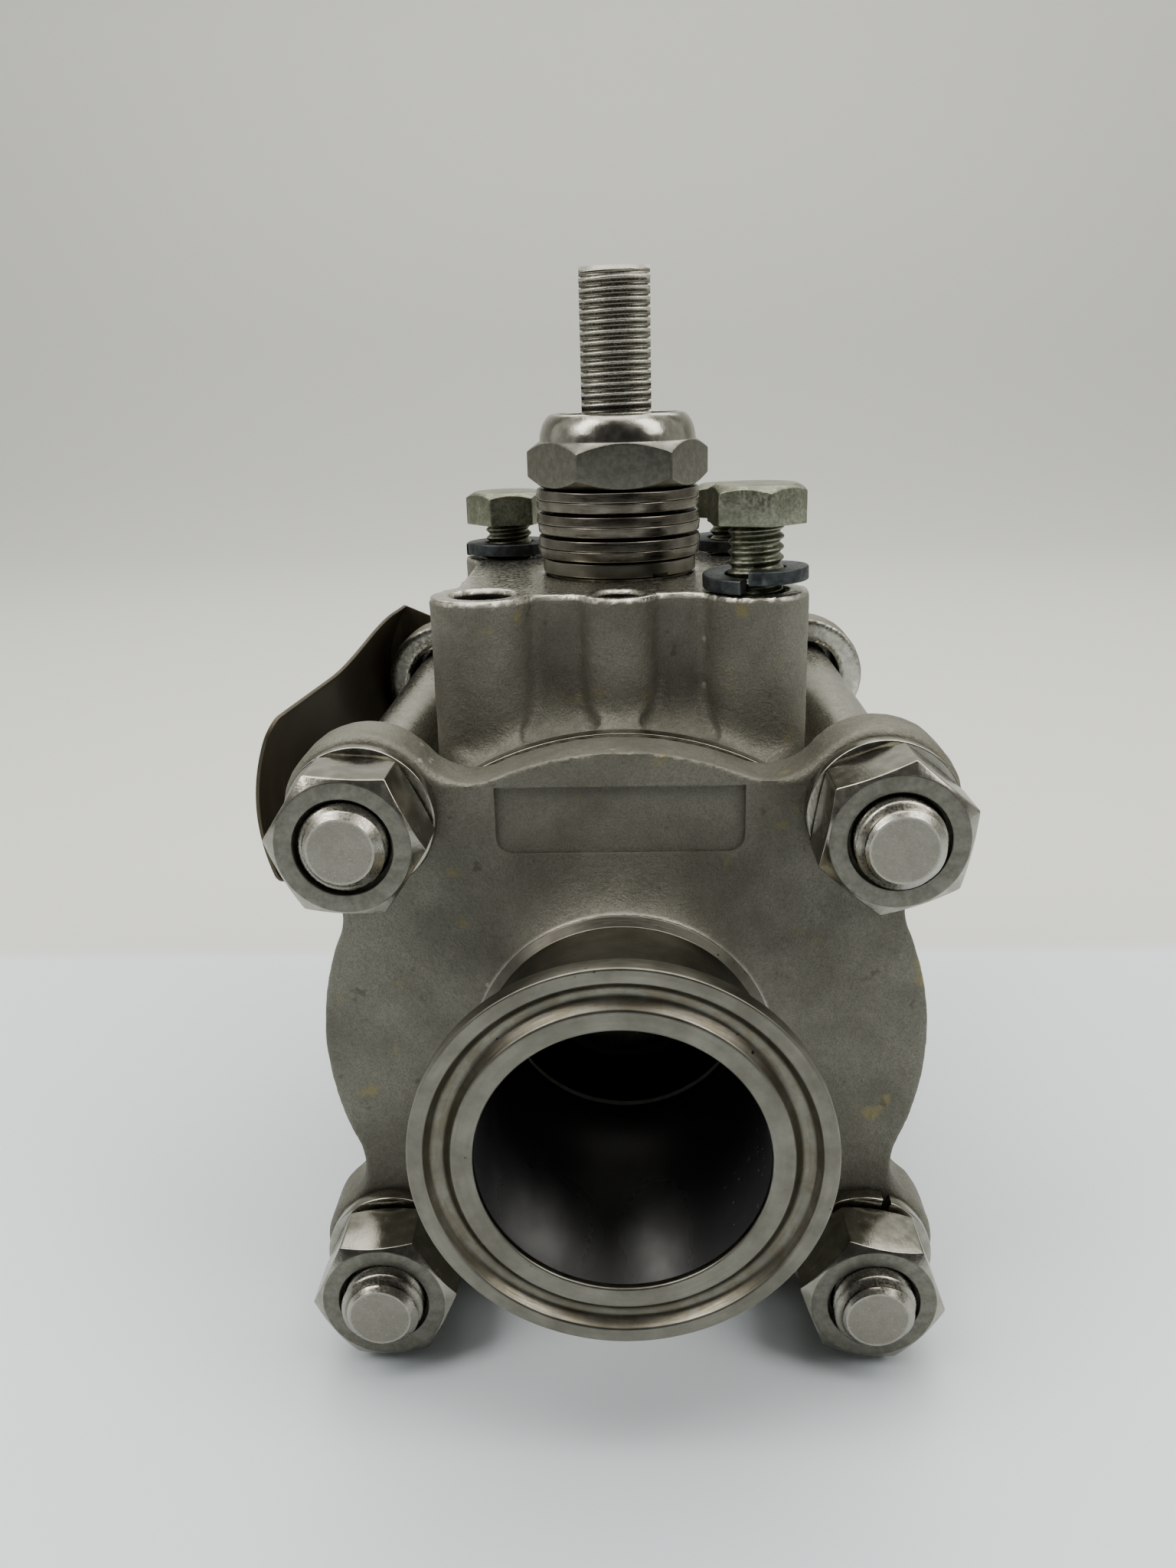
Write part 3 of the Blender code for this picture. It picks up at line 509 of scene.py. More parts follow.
def body_rims(material):
    """The turned rims that the flanges meet, let into the casting at both ends."""
    outer, edge = RIM_R + 0.4 * MM, PARTING_Y - 2.3 * MM
    inner, back = RIM_R - 3 * MM, PARTING_Y - 3.0 * MM
    for name, place in (("front", TO_FRONT), ("rear", TO_REAR)):
        corners = [(outer, PARTING_Y, 0.15, 0), (outer, edge, 0.25, 0),
                   (RIM_R - 1.2 * MM, back, 0, 0), (inner, back, 0, 0), (inner, PARTING_Y, 0.1, 0)]
        piece = turned("body_rim_" + name, corners, 256, closed=True)
        install(piece, "valve_body", material, ("body",), place)


# ---- threads and hexagons ---------------------------------------------------------
def helix_faces(rows, steps, per_turn):
    """Faces between rows of a helix, where each row's end meets the row one turn above."""
    faces = []
    for k in range(rows):
        for j in range(steps - 1):
            start = k * steps + j
            faces.append((start, start + 1, start + steps + 1, start + steps))
        end = (k + 1) * steps - 1
        above, beyond = min(k + per_turn, rows), min(k + 1 + per_turn, rows)
        faces.append((end, above * steps, beyond * steps, end + steps))
    return faces


def threaded_rod(name, major, minor, pitch, low, high, tip, steps=96, per_turn=12):
    """A rod along Z with a real helical thread and a chamfered upper end of radius tip."""
    rows = math.ceil((high - low) / pitch + 2) * per_turn
    circle = [(math.cos(angle), math.sin(angle)) for angle in even_angles(steps)]
    verts, tones = [], []
    for k in range(rows + 1):
        from_crest = abs((k % per_turn) / per_turn - 0.5) * 2
        depth = min(1.0, max(0.0, (from_crest - 0.12) / 0.66))
        for j, (cos, sin) in enumerate(circle):
            z = low + pitch * (k / per_turn + j / steps - 1)
            r = major - (major - minor) * depth
            if z <= low:
                z, r = low, minor
            z = min(z, high)
            chamfer = tip + high - z
            # The tone is the thread's depth, 0 at the crest and 1 in the root; the material paints shade into
            # the roots by it.
            tones.append(0.3 if r > chamfer else depth)
            r = min(r, chamfer)
            verts.append((r * cos, r * sin, z))
    faces = helix_faces(rows, steps, per_turn)
    faces.append(tuple(range(steps)))
    last, top = rows * steps, len(verts)
    inset = tip - 0.35 * MM
    verts += [(inset * cos, inset * sin, high) for cos, sin in circle]
    tones += [0.75] * steps
    faces += [(last + j, last + (j + 1) % steps, top + (j + 1) % steps, top + j) for j in range(steps)]
    faces.append(tuple(range(top, top + steps)))
    return make_piece(name, verts, faces, tones, 50)


def hexagon_radius(angle, across_flats, corner):
    """Distance from the axis to a hexagon whose corners are rounded to a radius."""
    a = across_flats / 2
    turn = (angle + math.pi / 6) % (math.pi / 3) - math.pi / 6
    from_corner = math.pi / 6 - abs(turn)
    centre = (a - corner) / math.cos(math.pi / 6)
    flat_end = math.pi / 6 - math.atan2(corner * math.sin(math.pi / 6),
                                        centre + corner * math.cos(math.pi / 6))
    if abs(turn) < flat_end:
        return a / math.cos(turn)
    off = centre * math.sin(from_corner)
    return centre * math.cos(from_corner) + math.sqrt(max(corner ** 2 - off ** 2, 0))


def hexagon_angles(turn):
    """Angles round a hexagon, closer together at its corners. A flat faces the angle turn."""
    angles = []
    for side in range(6):
        for share in (*[i / 14 - 0.5 for i in range(1, 14)], *[0.5 + k * 0.012 for k in range(-3, 4)]):
            angles.append(side * math.pi / 3 + share * math.pi / 3)
    return sorted((a + math.radians(turn)) % TAU for a in set(angles))


def hexagon(name, across_flats, low, high, bore, turn, chamfers=(True, True), washer_face=0.0,
            corner=0.35 * MM, face=0.955):
    """A hexagonal nut or head. bore is its inner section from top to bottom, or () if solid."""
    flat_r = across_flats / 2 * face
    steep = math.tan(math.radians(30))
    base = low + washer_face

    def section(angle):
        reach = hexagon_radius(angle - math.radians(turn), across_flats, corner)
        drop = (reach - flat_r) * steep
        inner = [(bore[0][0], high, 0.12, 1)] if bore else [(0, high, 0, 1)]
        outer = []
        if chamfers[1]:
            outer = [(flat_r, high, 0.12, 1), (flat_r + 0.15 * MM, high - 0.09 * MM, 0, 0)]
        outer.append((reach, high - drop if chamfers[1] else high, 0.15, 0))
        outer.append((reach, base + drop if chamfers[0] else base, 0.15, 0))
        if chamfers[0]:
            outer.append((flat_r, base, 0.12, 0.5))
        if washer_face:
            outer += [(flat_r - 0.1 * MM, base, 0.02, 0.5), (flat_r - 0.1 * MM, low, 0.1, 0.5)]
        if bore:
            return ring_section(inner + outer + [(r, h, 0.1, 1) for r, h in bore[::-1]][:-1], 3)
        return soften(inner + outer + [(0, low, 0, 0.5)], 3)

    return spun(name, section, hexagon_angles(turn), closed_section=bool(bore))


def split_washer(name, inner, outer, thick, gap, rise, steps=84):
    """A spring lock washer: one helical turn of a nearly square bar, from 0 up to thick."""
    slope = 0.1 * MM
    section = ring_section([(outer, thick, 0.25, 0), (outer, 0, 0.25, 0), (inner, slope, 0.25, 0),
                            (inner, thick - slope, 0.25, 0)], 3)
    start = math.radians(gap / 2)
    angles = [start + (TAU - 2 * start) * i / steps for i in range(steps + 1)]
    return spun(name, lambda angle: section, angles, whole=False, closed_section=True,
                lift=lambda angle: rise * (angle / TAU))


# ---- materials --------------------------------------------------------------------
class Nodes:
    """A node tree, with short calls for its nodes."""

    def __init__(self, tree):
        self.nodes, self.links = tree.nodes, tree.links

    def put(self, value, socket):
        """Links an output to a socket, or sets the socket to a number, a vector or a colour."""
        if isinstance(value, (int, float)):
            socket.default_value = value
        elif isinstance(value, tuple):
            socket.default_value = value if len(value) == len(socket.default_value) else (*value, 1.0)
        else:
            self.links.new(value, socket)

    def node(self, kind, inputs=None, **settings):
        """A new node with its settings and with what each of its inputs gets."""
        node = self.nodes.new("ShaderNode" + kind)
        for name, value in settings.items():
            setattr(node, name, value)
        for name, value in (inputs or {}).items():
            self.put(value, node.inputs[name])
        return node

    def split(self, vector):
        return self.node("SeparateXYZ", {0: vector}).outputs

    def maths(self, operation, a, b=0.0):
        return self.node("Math", {0: a, 1: b}, operation=operation).outputs[0]

    def times(self, a, b):
        return self.maths("MULTIPLY", a, b)

    def noise(self, vector, scale, detail=2.0, roughness=0.5):
        inputs = {"Vector": vector, "Scale": scale, "Detail": detail, "Roughness": roughness}
        return self.node("TexNoise", inputs).outputs["Fac"]

    def span(self, value, low, high, to_low=0.0, to_high=1.0, style="SMOOTHSTEP"):
        """Maps low..high to to_low..to_high, without going past them."""
        inputs = {"Value": value, "From Min": low, "From Max": high, "To Min": to_low, "To Max": to_high}
        return self.node("MapRange", inputs, interpolation_type=style).outputs["Result"]

    def vary(self, noise, low=0.0, high=1.0):
        """The middle of a noise's range, mapped to low..high."""
        return self.span(noise, 0.3, 0.7, low, high)

    def lobe(self, value, centre, half):
        """1 where the value is at centre, falling to 0 at half away from it."""
        away = self.maths("ABSOLUTE", self.maths("SUBTRACT", value, centre))
        return self.span(away, 0.0, half, 1.0, 0.0)

    def mix(self, share, a, b):
        """A colour between a and b."""
        return self.node("Mix", {0: share, 6: a, 7: b}, data_type="RGBA").outputs[2]

    def blend(self, share, a, b):
        """A number between a and b."""
        return self.node("Mix", {0: share, 2: a, 3: b}).outputs[0]

    def stretched(self, vector, scale):
        """A vector scaled by axis, for noise that runs along an axis."""
        return self.node("VectorMath", {0: vector, 1: scale}, operation="MULTIPLY").outputs[0]

    def bump(self, height, depth, strength):
        inputs = {"Height": height, "Distance": depth, "Strength": strength}
        return self.node("Bump", inputs).outputs[0]


class Paint(Nodes):
    """A material whose pieces bring their own coordinates and tone."""

    def __init__(self, name, metallic=1.0):
        self.material = bpy.data.materials.new(name)
        self.material.use_nodes = True
        super().__init__(self.material.node_tree)
        self.shader = self.nodes["Principled BSDF"]
        self.put(metallic, self.shader.inputs["Metallic"])
        self.own = self.node("Attribute", attribute_name="own").outputs["Vector"]
        self.tone = self.node("Attribute", attribute_name="tone").outputs["Fac"]

    def round_axis(self):
        """Tool marks run round the piece's axis: a vector for them, the height and the angle."""
        x, y, z = self.split(self.own)
        radius = self.maths("SQRT", self.maths("ADD", self.times(x, x), self.times(y, y)))
        angle = self.maths("ARCTAN2", y, x)
        marks = self.node("CombineXYZ", {0: radius, 1: z, 2: self.times(angle, 0.0012)})
        return marks.outputs[0], z, angle

    def edges(self, low, high):
        """1 along outer edges, 0 on flat or hollow places."""
        return self.span(self.node("NewGeometry").outputs["Pointiness"], low, high)

    def finish(self, color, roughness, normal=None):
        """Links what was painted to the shader and gives the material."""
        self.put(color, self.shader.inputs["Base Color"])
        self.put(roughness, self.shader.inputs["Roughness"])
        if normal:
            self.put(normal, self.shader.inputs["Normal"])
        return self.material


def cast_stainless():
    """A blasted casting, warm grey, with bright cut faces where the tone is 1 and painted shade down the
    tapped holes where it is -1.
    """
    p = Paint("cast_stainless", 0.65)
    grain = p.noise(p.own, 1500, 4.0, 0.68)
    sand = p.noise(p.own, 4200, 3.0, 0.6)
    blotch = p.noise(p.own, 85, 4.0, 0.6)
    color = p.mix(p.vary(blotch), (0.185, 0.179, 0.147), (0.270, 0.263, 0.223))
    color = p.mix(p.span(sand, 0.34, 0.62, 0.38, 0.0), color, (0.105, 0.099, 0.080))
    stain = p.span(p.noise(p.own, 210, 1.5), 0.67, 0.78, 0.0, 0.45)
    color = p.mix(stain, color, (0.330, 0.285, 0.120))
    soot = p.span(p.noise(p.own, 370, 2.5, 0.6), 0.66, 0.76, 0.0, 0.5)
    color = p.mix(soot, color, (0.085, 0.080, 0.066))
    # Outer edges lightened: partly wear, partly a painted highlight along them.
    worn = p.edges(0.57, 0.65)
    color = p.mix(p.times(worn, 0.45), color, (0.58, 0.56, 0.49))
    patchy = p.span(p.noise(p.own, 700, 2.0), 0.35, 0.70)
    cut_color = p.mix(patchy, (0.43, 0.415, 0.360), (0.54, 0.522, 0.460))
    color = p.mix(p.tone, color, cut_color)
    # Painted shade: near black down the tapped holes, where the tone is -1.
    color = p.mix(p.span(p.tone, -0.9, -0.2, 1.0, 0.0), color, (0.022, 0.021, 0.019))
    rough = p.vary(grain, 0.66, 0.48)
    rough = p.blend(p.tone, rough, p.span(p.noise(p.own, 1500, 2.0), 0.3, 0.7, 0.20, 0.34))
    relief = p.maths("ADD", grain, p.times(sand, 0.45))
    relief = p.blend(p.tone, relief, p.times(grain, 0.08))
    p.put(p.blend(p.tone, 0.65, 0.95), p.shader.inputs["Metallic"])
    return p.finish(color, rough, p.bump(relief, 0.17 * MM, 0.9))


def turned_stainless():
    """Turned on a lathe: fine rings. The tone is 0.6 in the gasket groove and 1 in the bore."""
    p = Paint("turned_stainless")
    round_it, height, angle = p.round_axis()
    rings = p.noise(round_it, 6500, 2.0, 0.6)
    bands = p.noise(round_it, 1500, 2.0, 0.5)
    blotch = p.noise(p.own, 160, 4.0, 0.65)
    color = p.mix(p.vary(blotch), (0.160, 0.153, 0.128), (0.240, 0.231, 0.197))
    color = p.mix(p.span(bands, 0.35, 0.65, 0.25, 0.0), color, (0.150, 0.140, 0.112))
    pits = p.span(p.noise(p.own, 1300, 1.0), 0.76, 0.81)
    color = p.mix(pits, color, (0.05, 0.04, 0.03))
    streak = p.noise(round_it, 3000, 3.0, 0.7)
    residue = p.span(p.maths("ADD", streak, p.noise(p.own, 500, 3.0, 0.7)), 0.88, 1.16)
    in_groove = p.span(p.tone, 0.1, 0.6)
    color = p.mix(p.times(p.times(in_groove, residue), 0.55), color,
                  (0.150, 0.124, 0.080))
    in_bore = p.span(p.tone, 0.75, 0.95)
    # Partly residue, partly painted light: lighter, less metallic patches at two set angles and one depth
    # band in the bore, with specks at a third angle.
    left, right = p.times(p.lobe(angle, -2.25, 0.75), 0.75), p.lobe(angle, -1.33, 0.42)
    painted_light_lobes = p.maths("MAXIMUM", left, right)
    cloud = p.span(p.noise(p.stretched(p.own, (1.0, 1.0, 0.5)), 160, 4.0, 0.55), 0.30, 0.70, 0.55, 1.0)
    haze_and_painted_light = p.times(p.times(painted_light_lobes, cloud), p.lobe(height, 61 * MM, 17 * MM))
    speck = p.times(p.span(p.noise(p.own, 1300, 1.0), 0.71, 0.75), p.lobe(angle, -0.50, 0.45))
    haze_and_painted_light = p.maths("MAXIMUM", haze_and_painted_light, p.times(speck, p.span(height, 50 * MM, 60 * MM)))
    color = p.mix(in_bore, color, p.mix(haze_and_painted_light, (0.220, 0.220, 0.220), (0.520, 0.520, 0.505)))
    rough = p.vary(rings, 0.30, 0.42)
    rough = p.blend(in_bore, rough, p.span(haze_and_painted_light, 0.0, 1.0, 0.24, 0.50))
    p.put(p.maths("SUBTRACT", 1.0, p.times(in_bore, p.span(haze_and_painted_light, 0.0, 1.0, 0.25, 0.85))),
          p.shader.inputs["Metallic"])
    ring_depth = p.blend(in_bore, rings, p.times(rings, 0.15))
    return p.finish(color, rough, p.bump(ring_depth, 0.006 * MM, 0.5))


def polished_stainless():
    """Cold-formed bright fasteners: shiny flats, duller and darker faces where the tone is 1."""
    p = Paint("polished_stainless")
    blotch = p.noise(p.own, 420, 3.0, 0.6)
    fine = p.noise(p.own, 2600, 2.0, 0.6)
    scratch = p.noise(p.stretched(p.own, (1.0, 0.12, 0.25)), 3000, 2.0)
    color = p.mix(p.vary(blotch), (0.290, 0.279, 0.240), (0.410, 0.397, 0.350))
    stained = p.noise(p.own, 900, 4.0, 0.65)
    dull = p.mix(p.span(stained, 0.35, 0.65), (0.150, 0.146, 0.122), (0.205, 0.200, 0.171))
    color = p.mix(p.times(p.tone, 0.92), color, dull)
    rough = p.vary(blotch, 0.17, 0.28)
    rough = p.blend(p.tone, rough, p.vary(fine, 0.34, 0.48))
    height = p.maths("ADD", fine, p.times(scratch, 0.7))
    return p.finish(color, rough, p.bump(height, 0.015 * MM, 0.8))


def thread_stainless():
    """A rolled thread: bright crests, painted shade in the roots, and a worn, duller end."""
    p = Paint("thread_stainless")
    blotch = p.noise(p.own, 380, 3.0, 0.6)
    fine = p.noise(p.own, 2600, 3.0, 0.65)
    color = p.mix(p.vary(blotch), (0.33, 0.318, 0.276), (0.385, 0.373, 0.328))
    # Painted shade: darker towards the thread roots by the tone; the same mix darkens the worn end face.
    color = p.mix(p.span(p.tone, 0.35, 1.0, 0.0, 0.70), color, (0.125, 0.110, 0.086))
    color = p.mix(p.span(fine, 0.58, 0.72, 0.0, 0.25), color, (0.60, 0.58, 0.53))
    rough = p.vary(fine, 0.20, 0.42)
    return p.finish(color, rough, p.bump(fine, 0.02 * MM, 0.7))


def spring_steel():
    """Ground spring washers, slightly brown, with fine rings and bright rubbed rims."""
    p = Paint("spring_steel")
    round_it = p.round_axis()[0]
    rings = p.noise(round_it, 4200, 2.0)
    blotch = p.noise(p.own, 300, 3.0)
    color = p.mix(p.vary(blotch), (0.125, 0.113, 0.092), (0.200, 0.185, 0.156))
    color = p.mix(p.times(p.edges(0.52, 0.58), 0.75), color, (0.66, 0.63, 0.56))
    return p.finish(color, p.vary(rings, 0.24, 0.38), p.bump(rings, 0.012 * MM, 0.8))


def zinc_plated():
    """Dull greenish-yellow zinc over steel."""
    p = Paint("zinc_plated")
    blotch = p.noise(p.own, 500, 3.0, 0.65)
    fine = p.noise(p.own, 2400, 2.5, 0.6)
    color = p.mix(p.vary(blotch), (0.195, 0.200, 0.150), (0.330, 0.336, 0.268))
    color = p.mix(p.span(fine, 0.35, 0.6, 0.45, 0.0), color, (0.090, 0.092, 0.066))
    color = p.mix(p.times(p.edges(0.53, 0.60), 0.6), color, (0.62, 0.62, 0.54))
    return p.finish(color, p.vary(fine, 0.32, 0.50), p.bump(fine, 0.05 * MM, 0.8))


def dark_steel():
    """Plain hardened lock washers, dark grey with rubbed edges."""
    p = Paint("dark_steel", 0.85)
    blotch = p.noise(p.own, 600, 3.0, 0.65)
    fine = p.noise(p.own, 3000, 2.5, 0.6)
    color = p.mix(p.vary(blotch), (0.045, 0.050, 0.052), (0.095, 0.104, 0.106))
    color = p.mix(p.times(p.edges(0.53, 0.60), 0.35), color, (0.28, 0.29, 0.28))
    return p.finish(color, p.vary(fine, 0.40, 0.58), p.bump(fine, 0.06 * MM, 0.8))


def plate_steel():
    """Dark rolled sheet with streaks across it and darker blotches."""
    p = Paint("plate_steel", 0.6)
    streak = p.noise(p.stretched(p.own, (1.0, 1.0, 0.06)), 900, 3.0, 0.6)
    blotch = p.noise(p.own, 120, 3.0)
    color = p.mix(p.vary(streak), (0.092, 0.079, 0.054), (0.128, 0.111, 0.078))
    color = p.mix(p.span(blotch, 0.4, 0.7, 0.0, 0.30), color, (0.036, 0.030, 0.022))
    return p.finish(color, p.vary(streak, 0.42, 0.48), p.bump(streak, 0.006 * MM, 0.6))


def plastic(name, dark, light, rough):
    """A moulded or turned plastic; a painted highlight on the lip where the tone is 1."""
    p = Paint(name, 0.0)
    blotch = p.noise(p.own, 500, 3.0)
    fine = p.noise(p.own, 3500, 2.0)
    color = p.mix(p.vary(blotch), dark, light)
    # Painted highlight: near white where the tone is 1, which is only the seats' lip.
    color = p.mix(p.span(p.tone, 0.3, 0.8), color, (0.85, 0.82, 0.74))
    return p.finish(color, p.vary(fine, rough, rough + 0.15), p.bump(fine, 0.03 * MM, 0.6))


# ---- turned pieces ----------------------------------------------------------------
def ferrule(name, side, material, nodes):
    """Neck, clamp ferrule and bore. Heights run outward from the ball."""
    groove = END_Y - 1.4 * MM
    rim_end = END_Y - 2.8 * MM
    taper_end = rim_end - 1.7 * MM
    corners = [
        (BORE_R, END_Y, 0.45, 0), (20.0 * MM, END_Y, 0.35, 0),
        (20.35 * MM, END_Y - 0.5 * MM, 0.3, 0.6), (21.1 * MM, groove, 0.7, 0.6),
        (22.4 * MM, groove, 0.7, 0.6), (23.1 * MM, END_Y - 0.5 * MM, 0.3, 0.6),
        (23.4 * MM, END_Y, 0.3, 0),
        (FERRULE_R, END_Y, 0.35, 0), (FERRULE_R, rim_end, 0.4, 0),
        (NECK_R + 1.6 * MM, taper_end, 0.5, 0), (NECK_R, taper_end - 1.6 * MM, 1.6, 0),
        (NECK_R, NECK_END_Y + 0.85 * MM, 0.15, 0), (BELL_TOP_R, NECK_END_Y, 0.12, 0),
        (BELL_TOP_R - 0.2 * MM, NECK_END_Y - 0.6 * MM, 0.1, 0),
        (NECK_R + 0.2 * MM, NECK_END_Y - 0.7 * MM, 0, 0), (NECK_R + 0.2 * MM, SPIGOT_Y, 0, 0),
        (BORE_R, SPIGOT_Y, 0.2, 1), (BORE_R, 45 * MM, 0, 1), (BORE_R, 58 * MM, 0, 1),
        (BORE_R, END_Y - 1.0 * MM, 0, 1)]
    piece = turned(name, corners, steps=224, closed=True, rounding=5)
    return install(piece, "valve_body", material, nodes,
                   TO_FRONT if side < 0 else TO_REAR)


def ring(name, outer, inner, low, high, edge):
    corners = [(outer, high, edge, 0), (outer, low, edge, 0), (inner, low, edge, 0), (inner, high, edge, 0)]
    return turned(name, corners, 96, closed=True, rounding=3)


def inner_rings(white, insert):
    """Seals, packing and the nut's nylon ring, from their CAD boxes, each about its own axis."""
    inner = STEM_R + 0.3 * MM
    packing = ["stem_packing_ring_1", "stem_packing_ring_2", "stem_packing_ring_3"]
    for node in ("stem_thrust_washer", *packing):
        low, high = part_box(node)
        piece = ring(node + "_fine", high.x, inner, low.z, high.z, 0.2)
        install(piece, "valve_body", white, (node,))
    for node, place in (("body_seal_front", TO_FRONT), ("body_seal_rear", TO_REAR)):
        low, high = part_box(node)
        ends = sorted((abs(low.y), abs(high.y)))
        piece = ring(node + "_fine", high.x, 29.8 * MM, *ends, 0.25)
        install(piece, "valve_body", white, (node,), place)
    low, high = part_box("stem_nut_insert")
    piece = ring("stem_nut_insert_fine", high.x, inner, low.z, high.z, 0.3)
    install(piece, "stem_assembly", insert, ("stem_nut_insert",))


def seats(material):
    """Rings with a short bore, a flare and a face that follows the ball."""
    contact = BALL_R + 0.3 * MM
    for node, place in (("seat_front", TO_FRONT), ("seat_rear", TO_REAR)):
        low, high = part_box(node)
        back = max(abs(low.y), abs(high.y))
        radii = [r * MM for r in (24.5, 23.4, 22.2, 21.1, 20.0)]
        face = [(r, math.sqrt(contact ** 2 - r ** 2), 0, 0) for r in radii]
        # Tone 1 on the short bore behind the lip, for its painted highlight.
        corners = [(high.x, back, 0.3, 0), (high.x, face[0][1], 0.3, 0), *face,
                   (BORE_R + 0.6 * MM, 28.45 * MM, 0, 0), (BORE_R, 28.8 * MM, 0.3, 1),
                   (BORE_R, 29.9 * MM, 0, 1), (BORE_R, 30.3 * MM, 0, 0), (BORE_R, back, 0.3, 0)]
        piece = turned(node + "_fine", corners, 128, closed=True)
        install(piece, "valve_body", material, (node,), place)


def ball(material):
    """The bore lies along X; the slot for the stem's tang runs along Y."""
    edge = math.acos(BORE_R / BALL_R)
    half = BALL_R * math.sin(edge)
    corners = [(BORE_R, half, 0.4, 1)]
    for i in range(1, 40):
        angle = edge - 2 * edge * i / 40
        corners.append((BALL_R * math.cos(angle), BALL_R * math.sin(angle), 0, 0))
    corners.append((BORE_R, -half, 0.4, 1))
    piece = turned("ball_fine", corners, 160, closed=True)
    piece.data.transform(spin(90, "Y"))
    slot = block("ball_slot", (-SLOT_W / 2, -SLOT_LENGTH / 2, SLOT_FLOOR),
                 (SLOT_W / 2, SLOT_LENGTH / 2, BALL_R + 1 * MM))
    boolean(piece, slot)
    install(piece, "ball", material, ("ball",), smooth_angle=35)


# ---- stem stack -------------------------------------------------------------------
def stem(material):
    """The threaded end with its flats, a plain shank, the shoulder under the body and the tang."""
    low = STEM_LOW.z
    shoulder_r, shoulder_low, shoulder_high = 11 * MM, 29.5 * MM, 32.8 * MM
    thread_from = 66 * MM
    overlap = thread_from + 0.2 * MM
    rod = threaded_rod("stem_fine", STEM_R, STEM_MINOR_R, FINE_PITCH, thread_from, STEM_TOP,
                       STEM_R - 1.0 * MM, steps=128)
    corners = [(0, overlap, 0, 0.4), (STEM_MINOR_R, overlap, 0.1, 0.4),
               (STEM_R, thread_from - 0.6 * MM, 0.2, 0), (STEM_R, shoulder_high, 0.3, 0),
               (shoulder_r, shoulder_high, 0.3, 0), (shoulder_r, shoulder_low, 0.4, 0),
               (0, shoulder_low, 0, 0)]
    boolean(rod, turned("stem_shaft", corners, 128), "UNION")
    tang = block("stem_tang", (-4 * MM, -8.5 * MM, low), (4 * MM, 8.5 * MM, shoulder_low + 1 * MM))
    boolean(rod, tang, "UNION")
    for side in (-1, 1):
        ends = sorted((side * STEM_FLAT_X, side * 12 * MM))
        flat = block("stem_flat", (ends[0], -12 * MM, STEM_FLAT_FROM),
                     (ends[1], 12 * MM, STEM_TOP + 2 * MM))
        boolean(rod, flat)
    install(rod, "stem_assembly", material, ("stem",), smooth_angle=40)


def gland(material):
    """The follower, whose collar stands over the pad and has a small slot at the front."""
    low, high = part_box("gland_follower")
    inner = STEM_R + 0.3 * MM
    corners = [(GLAND_COLLAR_R, high.z, 0.3, 0), (GLAND_COLLAR_R, PAD_Z + 0.4 * MM, 0.2, 0),
               (GLAND_R, PAD_Z + 0.2 * MM, 0.1, 0), (GLAND_R, low.z, 0.3, 0),
               (inner, low.z, 0.2, 0), (inner, high.z, 0.3, 0)]
    piece = turned("gland_follower_fine", corners, 128, closed=True)
    slot = block("gland_slot", (5.0 * MM, -12 * MM, high.z - 2.3 * MM),
                 (7.2 * MM, -8.6 * MM, high.z - 1.6 * MM))
    boolean(piece, slot)
    install(piece, "valve_body", material, ("gland_follower",), smooth_angle=40)


def spring_washers(material):
    """Three pairs of cones that meet at their outer edges, each a little out of line."""
    inner = STEM_R + 0.6 * MM
    dish, slope = 0.1 * MM, 0.16 * MM
    draw = random.Random(7)
    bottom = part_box("spring_washer_1")[0].z + 0.1 * MM
    pair_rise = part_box("spring_washer_3")[0].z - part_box("spring_washer_1")[0].z
    for number in range(1, 7):
        node = f"spring_washer_{number}"
        upper = number % 2 == 0
        base = bottom + (number - 1) // 2 * pair_rise + (SPRING_T + 0.04 * MM if upper else 0)
        rise = dish if upper else -dish
        high_r, low_r = (SPRING_R - slope, SPRING_R) if upper else (SPRING_R, SPRING_R - slope)
        corners = [(high_r, base + SPRING_T, 0.2, 0), (low_r, base, 0.2, 0),
                   (inner, base + rise, 0.2, 0), (inner, base + rise + SPRING_T, 0.2, 0)]
        piece = turned(node + "_fine", corners, 144, closed=True)
        shift = move(draw.uniform(-0.15, 0.15) * MM, draw.uniform(-0.1, 0.1) * MM, 0)
        install(piece, "stem_assembly", material, (node,), shift)


def stem_nut(material):
    """A thin hexagon chamfered at both ends under a rolled dome, with the nylon ring inside."""
    low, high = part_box("stem_nut")
    hex_top = low.z + STEM_NUT_HEX
    clear, insert = STEM_R + 0.3 * MM, 10.3 * MM
    step = high.z - 3.2 * MM
    turn = -85
    flat_r = STEM_NUT_AF / 2 * 0.985
    steep = math.tan(math.radians(37))
    dome = [(11.75, 6.6, 0.5, 0), (11.65, 7.6, 0.8, 0), (11.15, 9.2, 1.2, 0), (10.2, 10.35, 1.0, 0),
            (9.4, 10.5, 0.5, 0), (9.1, 10.1, 0.3, 0.3), (9.2, 9.8, 0, 1)]

    def section(angle):
        reach = hexagon_radius(angle - math.radians(turn), STEM_NUT_AF, 0.4 * MM)
        drop = (reach - flat_r) * steep
        points = [(clear, low.z, 0.2, 1), (flat_r, low.z, 0.2, 0.8),
                  (reach, low.z + drop, 0.2, 1), (reach, hex_top - drop, 0.2, 1),
                  (flat_r, hex_top, 0.2, 0.2)]
        points += [(r * MM, low.z + h * MM, edge, tone) for r, h, edge, tone in dome]
        points += [(insert, high.z - 0.7 * MM, 0, 1), (insert, step, 0, 1), (clear, step, 0, 1)]
        return ring_section(points, 4)

    piece = spun("stem_nut_fine", section, hexagon_angles(turn), closed_section=True)
    install(piece, "stem_assembly", material, ("stem_nut",))


# ---- fasteners --------------------------------------------------------------------
def tie_fasteners(shank_material, bright):
    for corner, (x, z) in CORNERS.items():
        tie_bolt(corner, move(x * TIE, 0, z * TIE) @ TO_FRONT, shank_material)
        tie_nut(corner, bright)
        tie_lock_washer(corner, bright)


